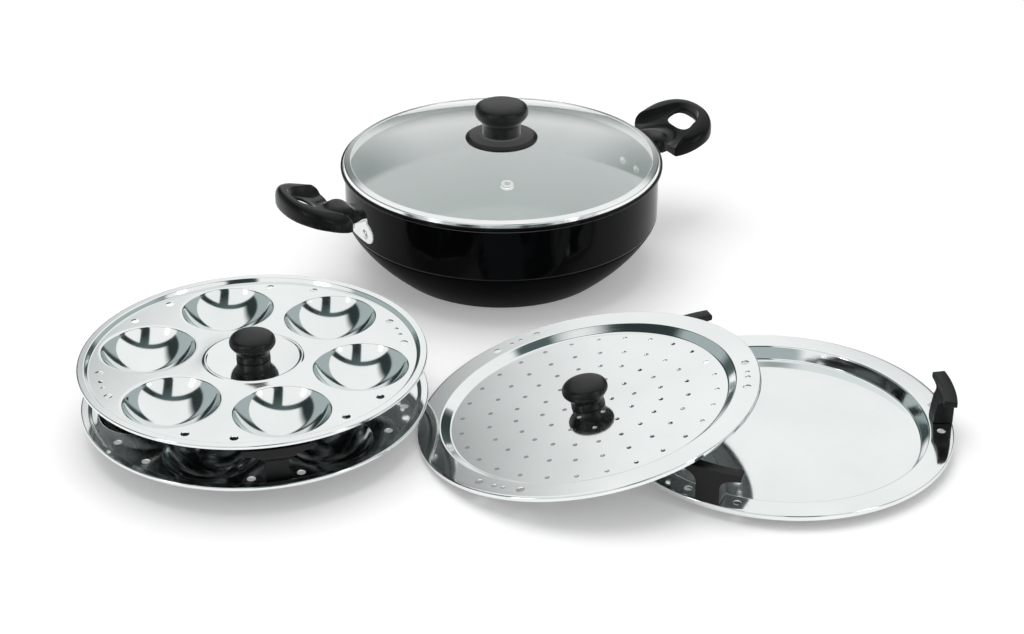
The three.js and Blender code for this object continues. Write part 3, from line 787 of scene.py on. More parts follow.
@dataclass
class LoopHandle:
    """Moulded loop handle with a finger window in a scoop, on a round boss and a neck, with its fixings."""

    wall_radius: float = 127.0
    pan_wall: float = 2.8
    # Outline and window in plan
    middle: float = 164.4
    half_length: float = 28.2
    half_width: float = 39.0
    outline_power: float = 0.93
    back: float = 147.2
    window_middle: float = 174.0
    window_half_length: float = 7.7
    window_half_width: float = 15.0
    window_power: float = 0.72
    # Slanting plane of the ridge, and the skirt below it
    hinge: float = 150.0
    top: float = 86.0
    slope: float = 18.6
    bulge: float = 12.5
    skirt_power: float = 0.72
    skirt_least: float = 3.4
    skirt_foot: Line = ((2.8, 0.3), (1.3, 0.0), (0.4, 0.4), (0.0, 1.5))
    # Share of the ridge between outline and window, and where the scoop opens to the neck, by side angle
    ridge: Line = (
        (0.0, 0.78), (15.0, 0.78), (30.0, 0.8), (45.0, 0.82), (60.0, 0.83), (75.0, 0.78),
        (90.0, 0.7), (103.0, 0.56), (114.0, 0.33), (121.0, 0.13), (128.0, 0.04), (180.0, 0.04))
    opening: Line = ((116.0, 0.0), (132.0, 1.0))
    # Heights by radius
    floor: Line = ((147.0, 77.8), (152.0, 78.4), (157.0, 79.6), (162.0, 81.6), (166.5, 83.8), (182.0, 91.0))
    underside: Line = ((147.0, 70.6), (158.0, 74.8), (170.0, 79.0), (184.0, 82.6), (196.0, 84.6))
    # Share of the way from ridge to window with the share of depth there, then the edge and the hollow below
    scoop_wall: Line = (
        (0.03, 0.05), (0.07, 0.18), (0.13, 0.38), (0.2, 0.57), (0.29, 0.74), (0.4, 0.87), (0.5, 0.94),
        (0.6, 0.97), (0.68, 0.985), (0.76, 1.0), (0.84, 1.0), (0.91, 1.0), (0.96, 1.02))
    window_edge: Line = ((0.99, 0.5), (1.0, 1.0), (1.0, 1.9), (0.985, 2.4), (0.9, 2.5))
    hollow: Line = ((0.84, 7.4), (0.62, 6.0), (0.4, 6.8), (0.26, 9.5))
    hollow_wall: float = 2.2
    hollow_least: float = 0.6
    hollow_edge: Point = (3.0, 0.5)
    # Neck and boss
    boss_middle: float = 143.6
    boss_radius: float = 17.0
    boss_power: float = 5.0
    foot: float = 69.5
    groove_depth: float = 1.0
    groove_gap: float = 1.0
    groove_width: float = 2.2
    crest: Line = (
        (127.0, 75.4), (131.0, 75.8), (134.0, 77.0), (137.0, 79.2),
        (140.0, 80.8), (144.0, 81.4), (160.0, 81.0))
    neck_half: Line = ((127.0, 12.0), (131.0, 12.3), (134.0, 14.0), (138.0, 15.8), (143.6, 17.0))
    neck_steps: tuple[float, ...] = (
        129.0, 131.0, 132.5, 134.0, 135.5, 137.0, 138.5, 140.0, 142.0, 145.0, 149.5)
    neck_pieces: int = 32
    # Bracket with its tongue, rivets and screw
    bracket_sheet: float = 1.2
    bracket_half: float = 21.0
    bracket_foot: float = 48.5
    bracket_edge: Line = (
        (0.0, 0.66), (0.03, 0.76), (0.09, 0.9), (0.17, 0.96), (0.28, 1.0), (0.5, 0.98),
        (0.6, 0.91), (0.68, 0.84), (0.76, 0.7), (0.82, 0.63), (1.0, 0.62))
    bracket_sharp: float = 35.0
    tongue_top: float = 69.2
    tongue_sheet: float = 1.6
    tongue_root: float = 0.8
    tongue_end: float = 147.0
    tongue_half: float = 13.0
    tongue_round: float = 5.0
    rivet_level: float = 55.7
    rivet_span: float = 22.0
    rivet_shank: float = 1.9
    rivet_head: float = 3.9
    rivet_dome: Point = (0.35, 1.8)
    rivet_tail: Line = ((0.0, -1.2), (2.4, -1.15), (3.2, -0.8), (3.4, -0.3), (3.4, 0.0))
    rivet_gaps: Point = (1.0, 0.1)
    screw_reach: float = 140.0
    screw: RoundScrew = field(default_factory=lambda: RoundScrew(1.4, 4.0, 8.0))
    sharp: float = 42.0
    rounds: int = 144

    def loop(self) -> Mesh:
        """Makes the loop from sections that run up the skirt, over the ridge and down the scoop to the window.

        Returns:
            The mesh of the loop.
        """
        bm = bmesh.new()
        turns = [2 * math.pi * i / self.rounds for i in range(self.rounds)]
        loops = [[bm.verts.new(p) for p in self.section(turn)] for turn in turns]
        for low, high in zip(loops, [*loops[1:], loops[0]]):
            bridge(bm, low, high)
        return settled(bm, "loop")

    def section(self, turn: float) -> list[Vector]:
        """Draws one section of the loop.

        Args:
            turn: direction of the section about the middle of the window in radians.

        Returns:
            The points of the section, from the foot of the skirt over the ridge to the window and back below.
        """
        axes = math.cos(turn), math.sin(turn)
        oval = [math.copysign(abs(v) ** self.outline_power, v) for v in axes]
        square = [math.copysign(abs(v) ** self.window_power, v) for v in axes]
        outer = Vector((max(self.middle + self.half_length * oval[0], self.back), self.half_width * oval[1]))
        inner = Vector((self.window_middle + self.window_half_length * square[0],
                        self.window_half_width * square[1]))
        side = math.degrees(math.acos(axes[0]))
        opened = along(self.opening, side)
        summit = outer.lerp(inner, linear(curved(self.ridge, 6), side))
        inwards = (inner - outer).normalized()
        low = linear(self.underside, outer.x)
        points = [(outer + inwards * inset, low + rise) for inset, rise in self.skirt_foot]
        bulge = min(self.bulge, self.plane(outer.x) - low - self.skirt_least)
        for c, s in quarter(12):
            spot = outer.lerp(summit, 1 - c ** self.skirt_power)
            level = self.plane(spot.x) - bulge * (1 - s ** self.skirt_power)
            points.append((spot, level + (min(level, self.scoop(spot)) - level) * opened))
        for place, depth in self.scoop_wall:
            spot = summit.lerp(inner, place)
            ridge = (self.plane(summit.x) + self.plane(spot.x)) / 2
            level = ridge + (self.scoop(spot) - ridge) * (depth + (1 - depth) * opened)
            points.append((spot, max(level, self.hump(spot.x, spot.y))))
        for place, drop in self.window_edge:
            points.append((outer.lerp(inner, place), self.scoop(inner) - drop))
        for place, drop in self.hollow:
            spot = outer.lerp(inner, place)
            level = min(self.plane(spot.x) - drop, linear(self.floor, spot.x) - self.hollow_wall)
            points.append((spot, max(level, low + self.hollow_least)))
        points.append((outer + inwards * self.hollow_edge[0], low + self.hollow_edge[1]))
        return [Vector((spot.x, spot.y, level)) for spot, level in points]

    def plane(self, reach: float) -> float:
        """Gives the height of the ridge at a radius."""
        return self.top + (reach - self.hinge) * math.tan(math.radians(self.slope))

    def scoop(self, spot: Vector) -> float:
        """Gives the height of the scoop's floor, with the groove round the boss.

        Args:
            spot: place in plan.

        Returns:
            The height.
        """
        gap = math.hypot(max(spot.x - self.boss_middle, 0.0), spot.y) - self.boss_radius - self.groove_gap
        groove = self.groove_depth * math.exp(-(gap / self.groove_width) ** 2)
        return linear(curved(self.floor, 5), spot.x) - groove

    def hump(self, reach: float, aside: float) -> float:
        """Gives the height of the neck and its round boss.

        Args:
            reach: radius from the pan's axis.
            aside: distance from the handle's middle line.

        Returns:
            The height, which falls to the foot at the edge of the boss.
        """
        if reach > self.boss_middle:
            share = math.hypot(reach - self.boss_middle, aside) / self.boss_radius
        else:
            share = abs(aside) / linear(self.neck_half, reach)
        rise = linear(curved(self.crest, 5), reach) - self.foot
        return self.foot + rise * math.sqrt(1 - min(share, 1.0) ** self.boss_power)

    def neck(self) -> Mesh:
        """Makes the neck, hollowed to the pan's wall, and the inner half of its boss.

        Returns:
            The mesh of the neck.
        """
        bm = bmesh.new()
        loops = []
        wall = self.wall_radius + SEAT
        for reach in (wall, *self.neck_steps):
            half = linear(self.neck_half, reach)
            if reach > self.boss_middle:
                half = math.sqrt(self.boss_radius ** 2 - (reach - self.boss_middle) ** 2)
            loop = []
            for k in range(self.neck_pieces + 1):
                aside = half * math.cos(math.pi * k / self.neck_pieces)
                u = math.sqrt(reach ** 2 - aside ** 2) if reach == wall else reach
                loop.append(bm.verts.new((u, aside, self.hump(reach, aside))))
            loops.append(loop)
        for low, high in zip(loops, loops[1:]):
            bridge(bm, low, high)
        bm.faces.new(loops[0])
        bm.faces.new(loops[-1])
        return settled(bm, "neck")

    def bracket(self) -> Mesh:
        """Makes the riveted ear plate with its tongue.

        Returns:
            The mesh of the bracket.
        """
        tall = self.tongue_top - self.bracket_foot
        bm = bmesh.new()
        skins = []
        for radius in (self.wall_radius + SEAT, self.wall_radius + SEAT + self.bracket_sheet):
            half = self.bracket_half / radius
            skins.append([arc_row(bm, radius, self.bracket_foot + tall * share, half * width, 10)
                          for share, width in self.bracket_edge])
        shell(bm, skins)
        plate = worked(settled(bm, "ear"), self.bracket_sharp, bevel=bevel(0.35, 2, 50.0))
        root, end, half = self.wall_radius + self.tongue_root, self.tongue_end, self.tongue_half
        curve = self.tongue_round
        corners = [(root, -half, 0), (end, -half, curve), (end, half, curve), (root, half, 0)]
        outline = filleted(corners, 6, closed=True)
        tongue = extruded("tongue", outline, self.tongue_top - self.tongue_sheet, self.tongue_top)
        return joined(plate, tongue, "UNION", self.bracket_sharp)

    def rivet(self) -> Mesh:
        """Makes a rivet along +X with a domed head outside and a low one inside.

        Returns:
            The mesh of the rivet.
        """
        inner = self.wall_radius - self.pan_wall - self.rivet_gaps[0]
        outer = self.wall_radius + SEAT + self.bracket_sheet + self.rivet_gaps[1]
        edge, rise = self.rivet_dome
        dome = [(self.rivet_head * c, outer + edge + rise * s) for c, s in quarter(7)]
        tail = [(radius, inner + level) for radius, level in self.rivet_tail]
        shank = [(self.rivet_shank, inner), (self.rivet_shank, outer), (self.rivet_head, outer)]
        rivet = turned("rivet", [*tail, *shank, *dome], 28)
        rivet.transform(turn_about(90.0, "Y"))
        return rivet

    def build(self, sides: dict[str, float]) -> None:
        """Puts a whole handle on each side of the pan.

        Args:
            sides: turn of the handle on each side in degrees.
        """
        shape = joined(self.loop(), self.neck(), "UNION", self.sharp)
        ear = self.bracket()
        rivet = self.rivet()
        screw = self.screw.mesh()
        offset = math.degrees(self.rivet_span / 2 / self.wall_radius)
        for side, turn in sides.items():
            place = turn_about(turn)
            publish(shape.copy(), f"side_handle_{side}", Body.KADAI, [HANDLE_BLACK], place)
            publish(ear.copy(), f"handle_bracket_{side}", Body.KADAI, [BRACKET_STEEL], place)
            seat = place @ moved(self.screw_reach, 0.0, self.tongue_top - self.tongue_sheet - SEAT)
            publish(screw.copy(), f"handle_screw_{side}", Body.KADAI, [FASTENER_STEEL], seat)
            for end, swing in (("a", -offset), ("b", offset)):
                spot = turn_about(turn + swing) @ moved(0.0, 0.0, self.rivet_level)
                node = f"bracket_rivet_{side}_{end}"
                publish(rivet.copy(), node, Body.KADAI, [FASTENER_STEEL], spot)


@dataclass
class KadaiPan:
    """Spun pan with an upright glossy band over a satin bowl, and two loop handles."""

    rim_radius: float = 130.0
    height: float = 88.0
    base_radius: float = 91.0
    wall: float = 2.8
    floor: float = 3.4
    overhang: float = 3.0
    ledge: float = 2.8
    ledge_inset: float = 0.6
    waist: float = 41.5
    waist_step: float = 0.8
    crease: Point = (0.9, 2.0)
    belly: Point = (0.15, 20.0)
    rim_flare: float = 1.6
    bulge: float = 3.6
    foot_round: float = 0.8
    bowl_start: float = 0.08
    # Inner side of the bowl: its thickness against the wall's, and the stretch that follows the outside
    slant: float = 1.3
    inside_span: Point = (0.8, 0.2)
    # Limits that tell inner faces, level faces and the band apart
    inward_limit: float = -0.02
    level_limit: float = 0.9
    band_start: float = 0.5
    handle_turn: float = 29.0
    sides: int = 192
    handle: LoopHandle = field(default_factory=LoopHandle)

    def bowl_point(self, share: float, inset: float = 0.0) -> Point:
        """Gives a point of the lower bowl.

        Args:
            share: place from the base at 0 to the waist at 1.
            inset: distance in from the outside.

        Returns:
            Its radius and height.
        """
        top = self.rim_radius - self.overhang - self.waist_step
        radius = self.base_radius + (top - self.base_radius) * share + 4 * self.bulge * share * (1 - share)
        return radius - inset, self.foot_round + (self.waist - self.foot_round) * share

    def mesh(self) -> Mesh:
        """Turns the pan from its outline.

        Returns:
            The mesh with the satin bowl, the glossy band and the inside as its materials.
        """
        band = self.rim_radius - self.overhang
        inner = band - self.wall
        ledge = band + self.ledge_inset
        shelf = self.height - self.ledge
        rim, top, waist, start = self.rim_radius, self.height, self.waist, self.bowl_start
        thick = self.wall * self.slant
        first, last = self.inside_span
        foot = self.base_radius - self.foot_round
        under = filleted([(0.0, 0.0, 0), (foot, 0.0, 0.9), (*self.bowl_point(start), 0)], 4)[:-1]
        bowl = [self.bowl_point(start + (1 - start) * k / 22) for k in range(23)]
        upper = filleted([
            (*bowl[-1], 0), (band - self.waist_step, waist + self.crease[0], 0.5),
            (band, waist + self.crease[1], 0.7), (band + self.belly[0], waist + self.belly[1], 9.0),
            (band, shelf - self.rim_flare, 1.2), (rim, shelf, 0.9), (rim, top, 0.8), (ledge, top, 0.5),
            (ledge, shelf, 0.5), (inner, shelf, 0.8), (inner, top / 2, 6.0),
            (*self.bowl_point(first, thick), 0)], 6)[1:]
        inside = [self.bowl_point(first + (last - first) * k / 12, thick) for k in range(1, 13)]
        floor = filleted([(*inside[-1], 0), (self.base_radius, self.floor, 9.0), (0.0, self.floor, 0)], 8)[1:]
        mesh = turned("kadai_bowl", [*under, *bowl, *upper, *inside, *floor], self.sides)
        for face in mesh.polygons:
            x, y, z = face.center / MM
            inward = face.normal.x * x + face.normal.y * y < self.inward_limit
            level = face.normal.z > self.level_limit and z < waist / 2
            if inward or level:
                face.material_index = 2
            elif z > waist + self.band_start:
                face.material_index = 1
        return mesh

    def build(self) -> None:
        """Makes the pan and its handles."""
        finishes = [SATIN_BOWL, GLOSS_BAND, INNER_COAT]
        publish(self.mesh(), "kadai_bowl", Body.KADAI, finishes)
        self.handle.build({"right": self.handle_turn, "left": self.handle_turn + 180.0})


@dataclass
class GlassLid:
    """Domed glass lid with a steel band, a vent and a knob on a round flange."""

    seat_level: float = 85.5
    dome: float = 21.5
    sphere: float = 461.0
    glass: float = 2.5
    glass_radius: float = 125.6
    band_radius: float = 127.2
    band_lip: float = 3.8
    skirt: float = 123.8
    skirt_sheet: float = 1.2
    skirt_foot: float = 4.5
    vent_circle: float = 77.0
    vent_turn: float = -86.5
    vent_radius: float = 3.6
    vent_flange: float = 1.6
    vent_wall: float = 1.4
    vent_foot: float = 0.7
    vent_rise: float = 0.9
    flange_radius: float = 29.0
    flange_height: float = 3.9
    knob_radius: float = 21.6
    knob_height: float = 26.0
    knob_depth: float = 14.0
    washer_radius: float = 9.0
    washer_sheet: float = 1.2
    screw_radius: float = 2.5
    screw_head: float = 6.0
    screw_reach: float = 13.0
    sides: int = 192

    @property
    def hole(self) -> float:
        """Gives the radius of the hole round the knob's screw."""
        return self.screw_radius + SEAT

    def level(self, radius: float) -> float:
        """Gives the height of the dome above the lid's seat."""
        return self.dome - self.sphere + math.sqrt(self.sphere ** 2 - radius ** 2)

    def glass_mesh(self) -> Mesh:
        """Makes the dome with its knob hole and vent hole.

        Returns:
            The mesh of the glass.
        """
        rim = self.glass_radius
        height = self.level(rim)
        radii = [self.hole + (rim - 0.8 - self.hole) * (k / 30) for k in range(31)]
        top = [(r, self.level(r)) for r in radii]
        low = [(r, self.level(r) - self.glass) for r in reversed(radii)]
        foot = height - self.glass
        edge = [(rim - 0.2, height - 0.5), (rim, (height + foot) / 2), (rim - 0.2, foot + 0.5)]
        dome = turned("lid_glass", [*top, *edge, *low], self.sides, closed=True)
        vent = self.vent_radius
        pipe = turned("pipe", [(0.0, -10.0), (vent, -10.0), (vent, 10.0), (0.0, 10.0)], 32)
        pipe.transform(self.vent_place())
        return joined(dome, pipe, "DIFFERENCE", 30.0)

    def vent_place(self) -> Matrix:
        """Gives the vent's place on the dome.

        Returns:
            Frame with its origin on the dome and Z along the vent.
        """
        tilt = math.degrees(math.asin(self.vent_circle / self.sphere))
        rise = turn_about(tilt, "Y") @ moved(0.0, 0.0, self.sphere)
        return turn_about(self.vent_turn) @ moved(0.0, 0.0, self.dome - self.sphere) @ rise

    def vent_mesh(self) -> Mesh:
        """Makes the eyelet of the vent.

        Returns:
            The mesh of the eyelet.
        """
        neck = self.vent_radius - SEAT
        flange, bore = self.vent_radius + self.vent_flange, self.vent_radius - self.vent_wall
        low = -self.glass - SEAT
        foot, top = low - self.vent_foot, SEAT + self.vent_rise
        return rounded_ring("steam_vent", [
            (bore, foot, 0.25), (flange, foot, 0.2), (flange, low, 0.2), (neck, low, 0), (neck, SEAT, 0),
            (flange, SEAT, 0.2), (flange - 0.3, top, 0.5), (bore, top, 0.6)], 5, 40)

    def band_mesh(self) -> Mesh:
        """Makes the steel band folded round the glass.

        Returns:
            The mesh of the band.
        """
        lip = self.glass_radius - self.band_lip
        shelf = lip + 0.5
        back = self.glass_radius + SEAT
        above = SEAT + 0.05
        below = self.glass + above
        outer, skirt, foot = self.band_radius, self.skirt, -self.skirt_foot
        inner = skirt - self.skirt_sheet
        lip_level, shelf_level, back_level = (self.level(radius) for radius in (lip, shelf, back))
        return rounded_ring("lid_rim", [
            (skirt, 0.0, 0.4), (outer, 0.0, 0.5), (outer, back_level + 1.0, 1.1), (lip, lip_level + 1.1, 0.4),
            (lip, lip_level + above, 0), (back, back_level + above, 0), (back, back_level - below, 0),
            (shelf, shelf_level - below, 0), (shelf, shelf_level - below - 0.9, 0.3),
            (inner, back_level - below - 0.8, 0.4), (inner, foot, 0.4), (skirt, foot, 0.4)], 4, self.sides)

    def flange_mesh(self) -> Mesh:
        """Makes the round flange under the knob.

        Returns:
            The mesh of the flange.
        """
        radius, top = self.flange_radius, self.dome + self.flange_height
        under = [(r, self.level(r) + SEAT, 0) for r in (self.hole, 8.0, 14.0, 20.0, 25.0)]
        line = filleted([
            *under, (radius, self.level(radius) + SEAT, 0.3), (radius + 0.2, self.level(radius) + 1.9, 0.9),
            (radius - 3.0, top - 1.2, 3.0), (radius * 0.62, top - 0.1, 2.0), (self.hole, top, 0)], 5)
        return turned("knob_flange", line, 96, closed=True)

    def washer_mesh(self) -> Mesh:
        """Makes the washer under the glass.

        Returns:
            The mesh of the washer with its top at height 0.
        """
        hole, radius, low = self.hole, self.washer_radius, -self.washer_sheet
        corners = [(hole, low, 0.2), (radius, low, 0.35), (radius, 0.0, 0.35), (hole, 0.0, 0.2)]
        return rounded_ring("knob_washer", corners, 4, 48)

    def build(self) -> None:
        """Makes every piece of the lid."""
        here = moved(0.0, 0.0, self.seat_level)
        publish(self.glass_mesh(), "lid_glass", Body.LID, [LID_GLASS], here)
        publish(self.band_mesh(), "lid_rim", Body.LID, [BAND_STEEL], here)
        vent = here @ self.vent_place()
        publish(self.vent_mesh(), "steam_vent", Body.LID, [FASTENER_STEEL], vent)
        publish(self.flange_mesh(), "knob_flange", Body.LID, [KNOB_BLACK], here)
        top = self.dome + self.flange_height
        knob = MushroomKnob(self.knob_radius, self.knob_height, self.hole, self.knob_depth, KnobShape.LID)
        stand = here @ moved(0.0, 0.0, top + SEAT)
        publish(knob.mesh("lid_knob"), "lid_knob", Body.LID, [KNOB_BLACK], stand)
        level = self.dome - self.glass - SEAT
        under = here @ moved(0.0, 0.0, level)
        publish(self.washer_mesh(), "knob_washer", Body.LID, [WASHER_WHITE], under)
        level -= self.washer_sheet + SEAT
        screw = RoundScrew(self.screw_radius, self.screw_head, top + self.screw_reach - level).mesh()
        seat = here @ moved(0.0, 0.0, level)
        publish(screw, "lid_knob_screw", Body.LID, [FASTENER_STEEL], seat)


class KnobShape(Enum):
    """Outlines of the knobs as shares of their radius and height."""

    LID = ((0.72, 0.0), (0.71, 0.12), (0.72, 0.28), (0.77, 0.4), (0.89, 0.51), (0.98, 0.62), (1.0, 0.73),
           (0.97, 0.84), (0.87, 0.92), (0.66, 0.968), (0.36, 0.992))
    PLATE = ((0.74, 0.0), (0.73, 0.1), (0.73, 0.24), (0.78, 0.36), (0.9, 0.48), (0.99, 0.6), (1.0, 0.71),
             (0.96, 0.82), (0.84, 0.91), (0.6, 0.965), (0.3, 0.99))


@dataclass
class MushroomKnob:
    """Moulded knob with a blind screw hole, standing on height 0."""

    radius: float
    height: float
    hole: float
    depth: float
    shape: KnobShape

    def mesh(self, name: str) -> Mesh:
        """Turns the knob.

        Args:
            name: name of the mesh.

        Returns:
            The mesh of the knob.
        """
        side = curved([(r * self.radius, z * self.height) for r, z in self.shape.value], 5)
        foot = [(0.0, self.depth), (self.hole, self.depth), (self.hole, 0.0)]
        return turned(name, [*foot, (side[0][0] - 0.5, 0.0), *side, (0.0, self.height)], 80)


class PressedSheet:
    """Upper skin of a pressed sheet, gathered from turned bands and flat webs, then given its thickness."""

    def __init__(self, name: str, thickness: float, sides: int = 192) -> None:
        """Starts an empty skin.

        Args:
            name: name of the mesh.
            thickness: thickness of the sheet.
            sides: facets of its full rounds.
        """
        self.name = name
        self.thickness = thickness
        self.sides = sides
        self.bm = bmesh.new()

    def band(self, line: Sequence[Point], sides: Optional[int] = None, middle: Point = (0.0, 0.0)) -> None:
        """Adds a turned band."""
        turned_rings(self.bm, line, sides or self.sides, middle)

    def web(self, level: float, loops: Sequence[Sequence[Point]]) -> None:
        """Fills the flat between an outer loop and the loops inside it.

        Args:
            level: height of the flat.
            loops: outer loop first, then the loops left open.
        """
        spots: list[Vector] = []
        edges: list[tuple[int, int]] = []
        for loop in loops:
            first = len(spots)
            spots.extend(Vector(p) for p in loop)
            edges.extend((first + i, first + (i + 1) % len(loop)) for i in range(len(loop)))
        made = delaunay_2d_cdt(spots, edges, [list(range(len(loops[0])))], 2, 1e-6)
        verts = [self.bm.verts.new((p.x, p.y, level)) for p in made[0]]
        for face in made[2]:
            self.bm.faces.new([verts[i] for i in face])

    def mesh(self) -> Mesh:
        """Gives the skin its thickness.

        Returns:
            The closed mesh of the sheet.
        """
        bmesh.ops.remove_doubles(self.bm, verts=self.bm.verts, dist=2e-3)
        mesh = settled(self.bm, self.name)
        if sum(p.normal.z * p.area for p in mesh.polygons) < 0:
            mesh.flip_normals()
        for _ in range(2):
            mesh.materials.append(None)
        # The underside made by the solidify takes the second finish, which on the plates is steel painted dark
        # as painted shade
        return worked(mesh, CRISP, solidify={
            "thickness": self.thickness * MM, "offset": -1.0, "use_even_offset": True,
            "use_quality_normals": True, "material_offset": 1})


@dataclass
class PlateSupport:
    """Moulded support: a column on the plate under a crossbar that follows the rim."""

    height: float
    screw_circle: float
    foot_outer: float
    foot_inset: float = 5.0
    first_row: float = 0.3
    inner_bend: Point = (0.55, 1.5)
    outer_bend: float = 0.5
    bar_start: float = 1.5
    crossbar_outer: float = 121.5
    crossbar_depth: float = 9.0
    crossbar_length: float = 46.0
    crossbar_thickness: float = 4.7
    width: float = 17.0
    # Rise and spread of the column under the crossbar, then of the crossbar's lower and upper edge
    flare: Line = ((-7.8, 0.0), (-5.6, 0.5), (-3.8, 1.5), (-2.3, 3.2), (-1.2, 5.4), (-0.4, 8.0), (0.0, 10.6))
    lower_edge: Line = ((0.5, -0.6), (1.2, -0.1))
    upper_edge: Line = ((-1.0, 0.0), (-0.3, -0.3), (0.0, -1.0))
    screw: RoundScrew = field(default_factory=lambda: RoundScrew(1.4, 2.9, 8.0))

    def mesh(self, name: str) -> Mesh:
        """Makes the support from level rows.

        Args:
            name: name of the mesh.

        Returns:
            The mesh with its foot at height 0.
        """
        arm = self.height - self.crossbar_thickness
        column, half = self.width / 2, self.crossbar_length / 2
        rows = [(0.0, column), (arm * self.first_row, column)]
        for level, reach, edge in ((arm, column, self.flare), (arm, half, self.lower_edge),
                                   (self.height, half, self.upper_edge)):
            rows += [(level + rise, reach + spread) for rise, spread in edge]
        inner = self.screw_circle - self.foot_inset
        outer, bar = self.crossbar_outer, arm - self.bar_start
        bend, shift = self.inner_bend
        inside = [(0.0, inner), (self.height * bend, inner + shift), (bar, outer - self.crossbar_depth)]
        outside = [(0.0, self.foot_outer), (self.height * self.outer_bend, self.foot_outer), (bar, outer)]
        bm = bmesh.new()
        shell(bm, [[arc_row(bm, along(table, level), level, reach / outer, 8) for level, reach in rows]
                   for table in (inside, outside)])
        return worked(settled(bm, name), 40.0, bevel=bevel(0.7, 3, 42.0))

    def build(
        self, body: Body, place: Matrix, names: dict[str, float], foot: float, screw_turn: float, sheet: float
    ) -> None:
        """Puts supports with their screws on a plate.

        Args:
            body: body that they ride on.
            place: frame of the plate.
            names: turn of each support in degrees by its node.
            foot: height of the plate where they stand.
            screw_turn: turn from a support's middle to its screws in degrees.
            sheet: thickness of the plate.
        """
        shape = self.mesh("support")
        screw = self.screw.mesh()
        for node, turn in names.items():
            stand = place @ turn_about(turn) @ moved(0.0, 0.0, foot + SEAT)
            publish(shape.copy(), node, body, [SUPPORT_BLACK], stand)
            for end, swing in (("a", -screw_turn), ("b", screw_turn)):
                spot = stand @ moved(*on_circle(self.screw_circle, swing), -sheet - 2 * SEAT)
                publish(screw.copy(), f"{node}_screw_{end}", body, [FASTENER_STEEL], spot)


@dataclass
class PlateKnob:
    """Small knob in the middle of a plate, with its screw from below."""

    radius: float = 16.2
    height: float = 18.8
    hole: float = 2.3
    depth: float = 11.0
    screw_head: float = 4.2
    screw_length: float = 11.0

    def build(self, node: str, body: Body, place: Matrix, floor: float, sheet: float) -> None:
        """Puts the knob on a plate.

        Args:
            node: solid of the knob.
            body: body that it rides on.
            place: frame of the plate.
            floor: height of the plate's floor.
            sheet: thickness of the plate.
        """
        knob = MushroomKnob(self.radius, self.height, self.hole, self.depth, KnobShape.PLATE)
        stand = place @ moved(0.0, 0.0, floor + SEAT)
        publish(knob.mesh(node), node, body, [KNOB_BLACK], stand)
        screw = RoundScrew(self.hole - SEAT, self.screw_head, self.screw_length).mesh()
        seat = place @ moved(0.0, 0.0, floor - sheet - SEAT)
        publish(screw, f"{node}_screw", body, [FASTENER_STEEL], seat)


@dataclass
class IdliPlate:
    """Pressed plate with a ring of round cups and small holes in the gaps between them."""

    radius: float = 122.0
    sheet: float = 0.9
    recess: float = 3.0
    lip: float = 2.2
    rim_width: float = 7.4
    rim_slope: float = 2.0
    cups: int = 6
    cup_circle: float = 77.0
    cup_radius: float = 33.0
    cup_depth: float = 18.2
    cup_edge: float = 2.6
    cup_sides: int = 96
    hole_circle: float = 106.5
    hole_turn: float = 9.0
    large_hole: float = 3.0
    small_hole: float = 1.7
    screw_turn: float = 2.4
    bead_radius: float = 34.0
    bead_half: float = 2.0
    bead_rise: float = 0.7
    bead_sides: int = 128

    def cup_line(self, mouth: float) -> list[Point]:
        """Draws the outline of a cup.

        Args:
            mouth: radius at which the cup leaves the flat.

        Returns:
            Points of radius and height, from the mouth to the bottom.
        """
        sphere = (self.cup_radius ** 2 + self.cup_depth ** 2) / (2 * self.cup_depth)
        half = math.asin(self.cup_radius / sphere)
        middle = sphere - self.cup_depth - self.recess
        swings = [half * k / 18 for k in range(17, -1, -1)]
        arc = [(sphere * math.sin(swing), middle - sphere * math.cos(swing)) for swing in swings]
        edge = [(mouth, -self.recess, 0), (self.cup_radius, -self.recess, 1.5), (*arc[0], 0)]
        return [*filleted(edge, 5), *arc[1:]]

    def mesh(self, name: str, centre_hole: float) -> Mesh:
        """Presses the plate.

        Args:
            name: name of the mesh.
            centre_hole: radius of the knob's screw hole, or 0.

        Returns:
            The mesh with its rim at height 0.
        """
        skin = PressedSheet(name, self.sheet)
        floor = self.radius - self.rim_width
        inner = floor - 1.0
        skin.band(filleted([
            (inner, -self.recess, 0), (floor, -self.recess, 1.2), (floor + self.rim_slope, 0.0, 1.2),
            (self.radius, 0.0, 1.1), (self.radius, -self.lip, 0)], 5))
        loops = [ring(inner, skin.sides)]
        step = 360.0 / self.cups
        mouth = self.cup_radius + self.cup_edge
        line = self.cup_line(mouth)
        for k in range(self.cups):
            middle = on_circle(self.cup_circle, step * k + step / 2)
            skin.band(line, self.cup_sides, middle)
            loops.append(ring(mouth, self.cup_sides, middle))
            for offset in (-self.hole_turn, self.hole_turn):
                loops.append(ring(self.large_hole, HOLE_SIDES, on_circle(self.hole_circle, step * k + offset)))
        for gap in (0.0, 180.0):
            for offset in (-self.screw_turn, self.screw_turn):
                loops.append(ring(self.small_hole, PIN_SIDES, on_circle(self.hole_circle, gap + offset)))
        bead = []
        for share in (k / 16 for k in range(17)):
            rise = self.bead_rise / 2 * (1 - math.cos(2 * math.pi * share))
            bead.append((self.bead_radius + self.bead_half * (1 - 2 * share), rise - self.recess))
        skin.band(bead, self.bead_sides)
        loops.append(ring(self.bead_radius + self.bead_half, self.bead_sides))
        skin.web(-self.recess, loops)
        middle_loops = [ring(self.bead_radius - self.bead_half, self.bead_sides)]
        if centre_hole > 0:
            middle_loops.append(ring(centre_hole, HOLE_SIDES))
        skin.web(-self.recess, middle_loops)
        return skin.mesh()


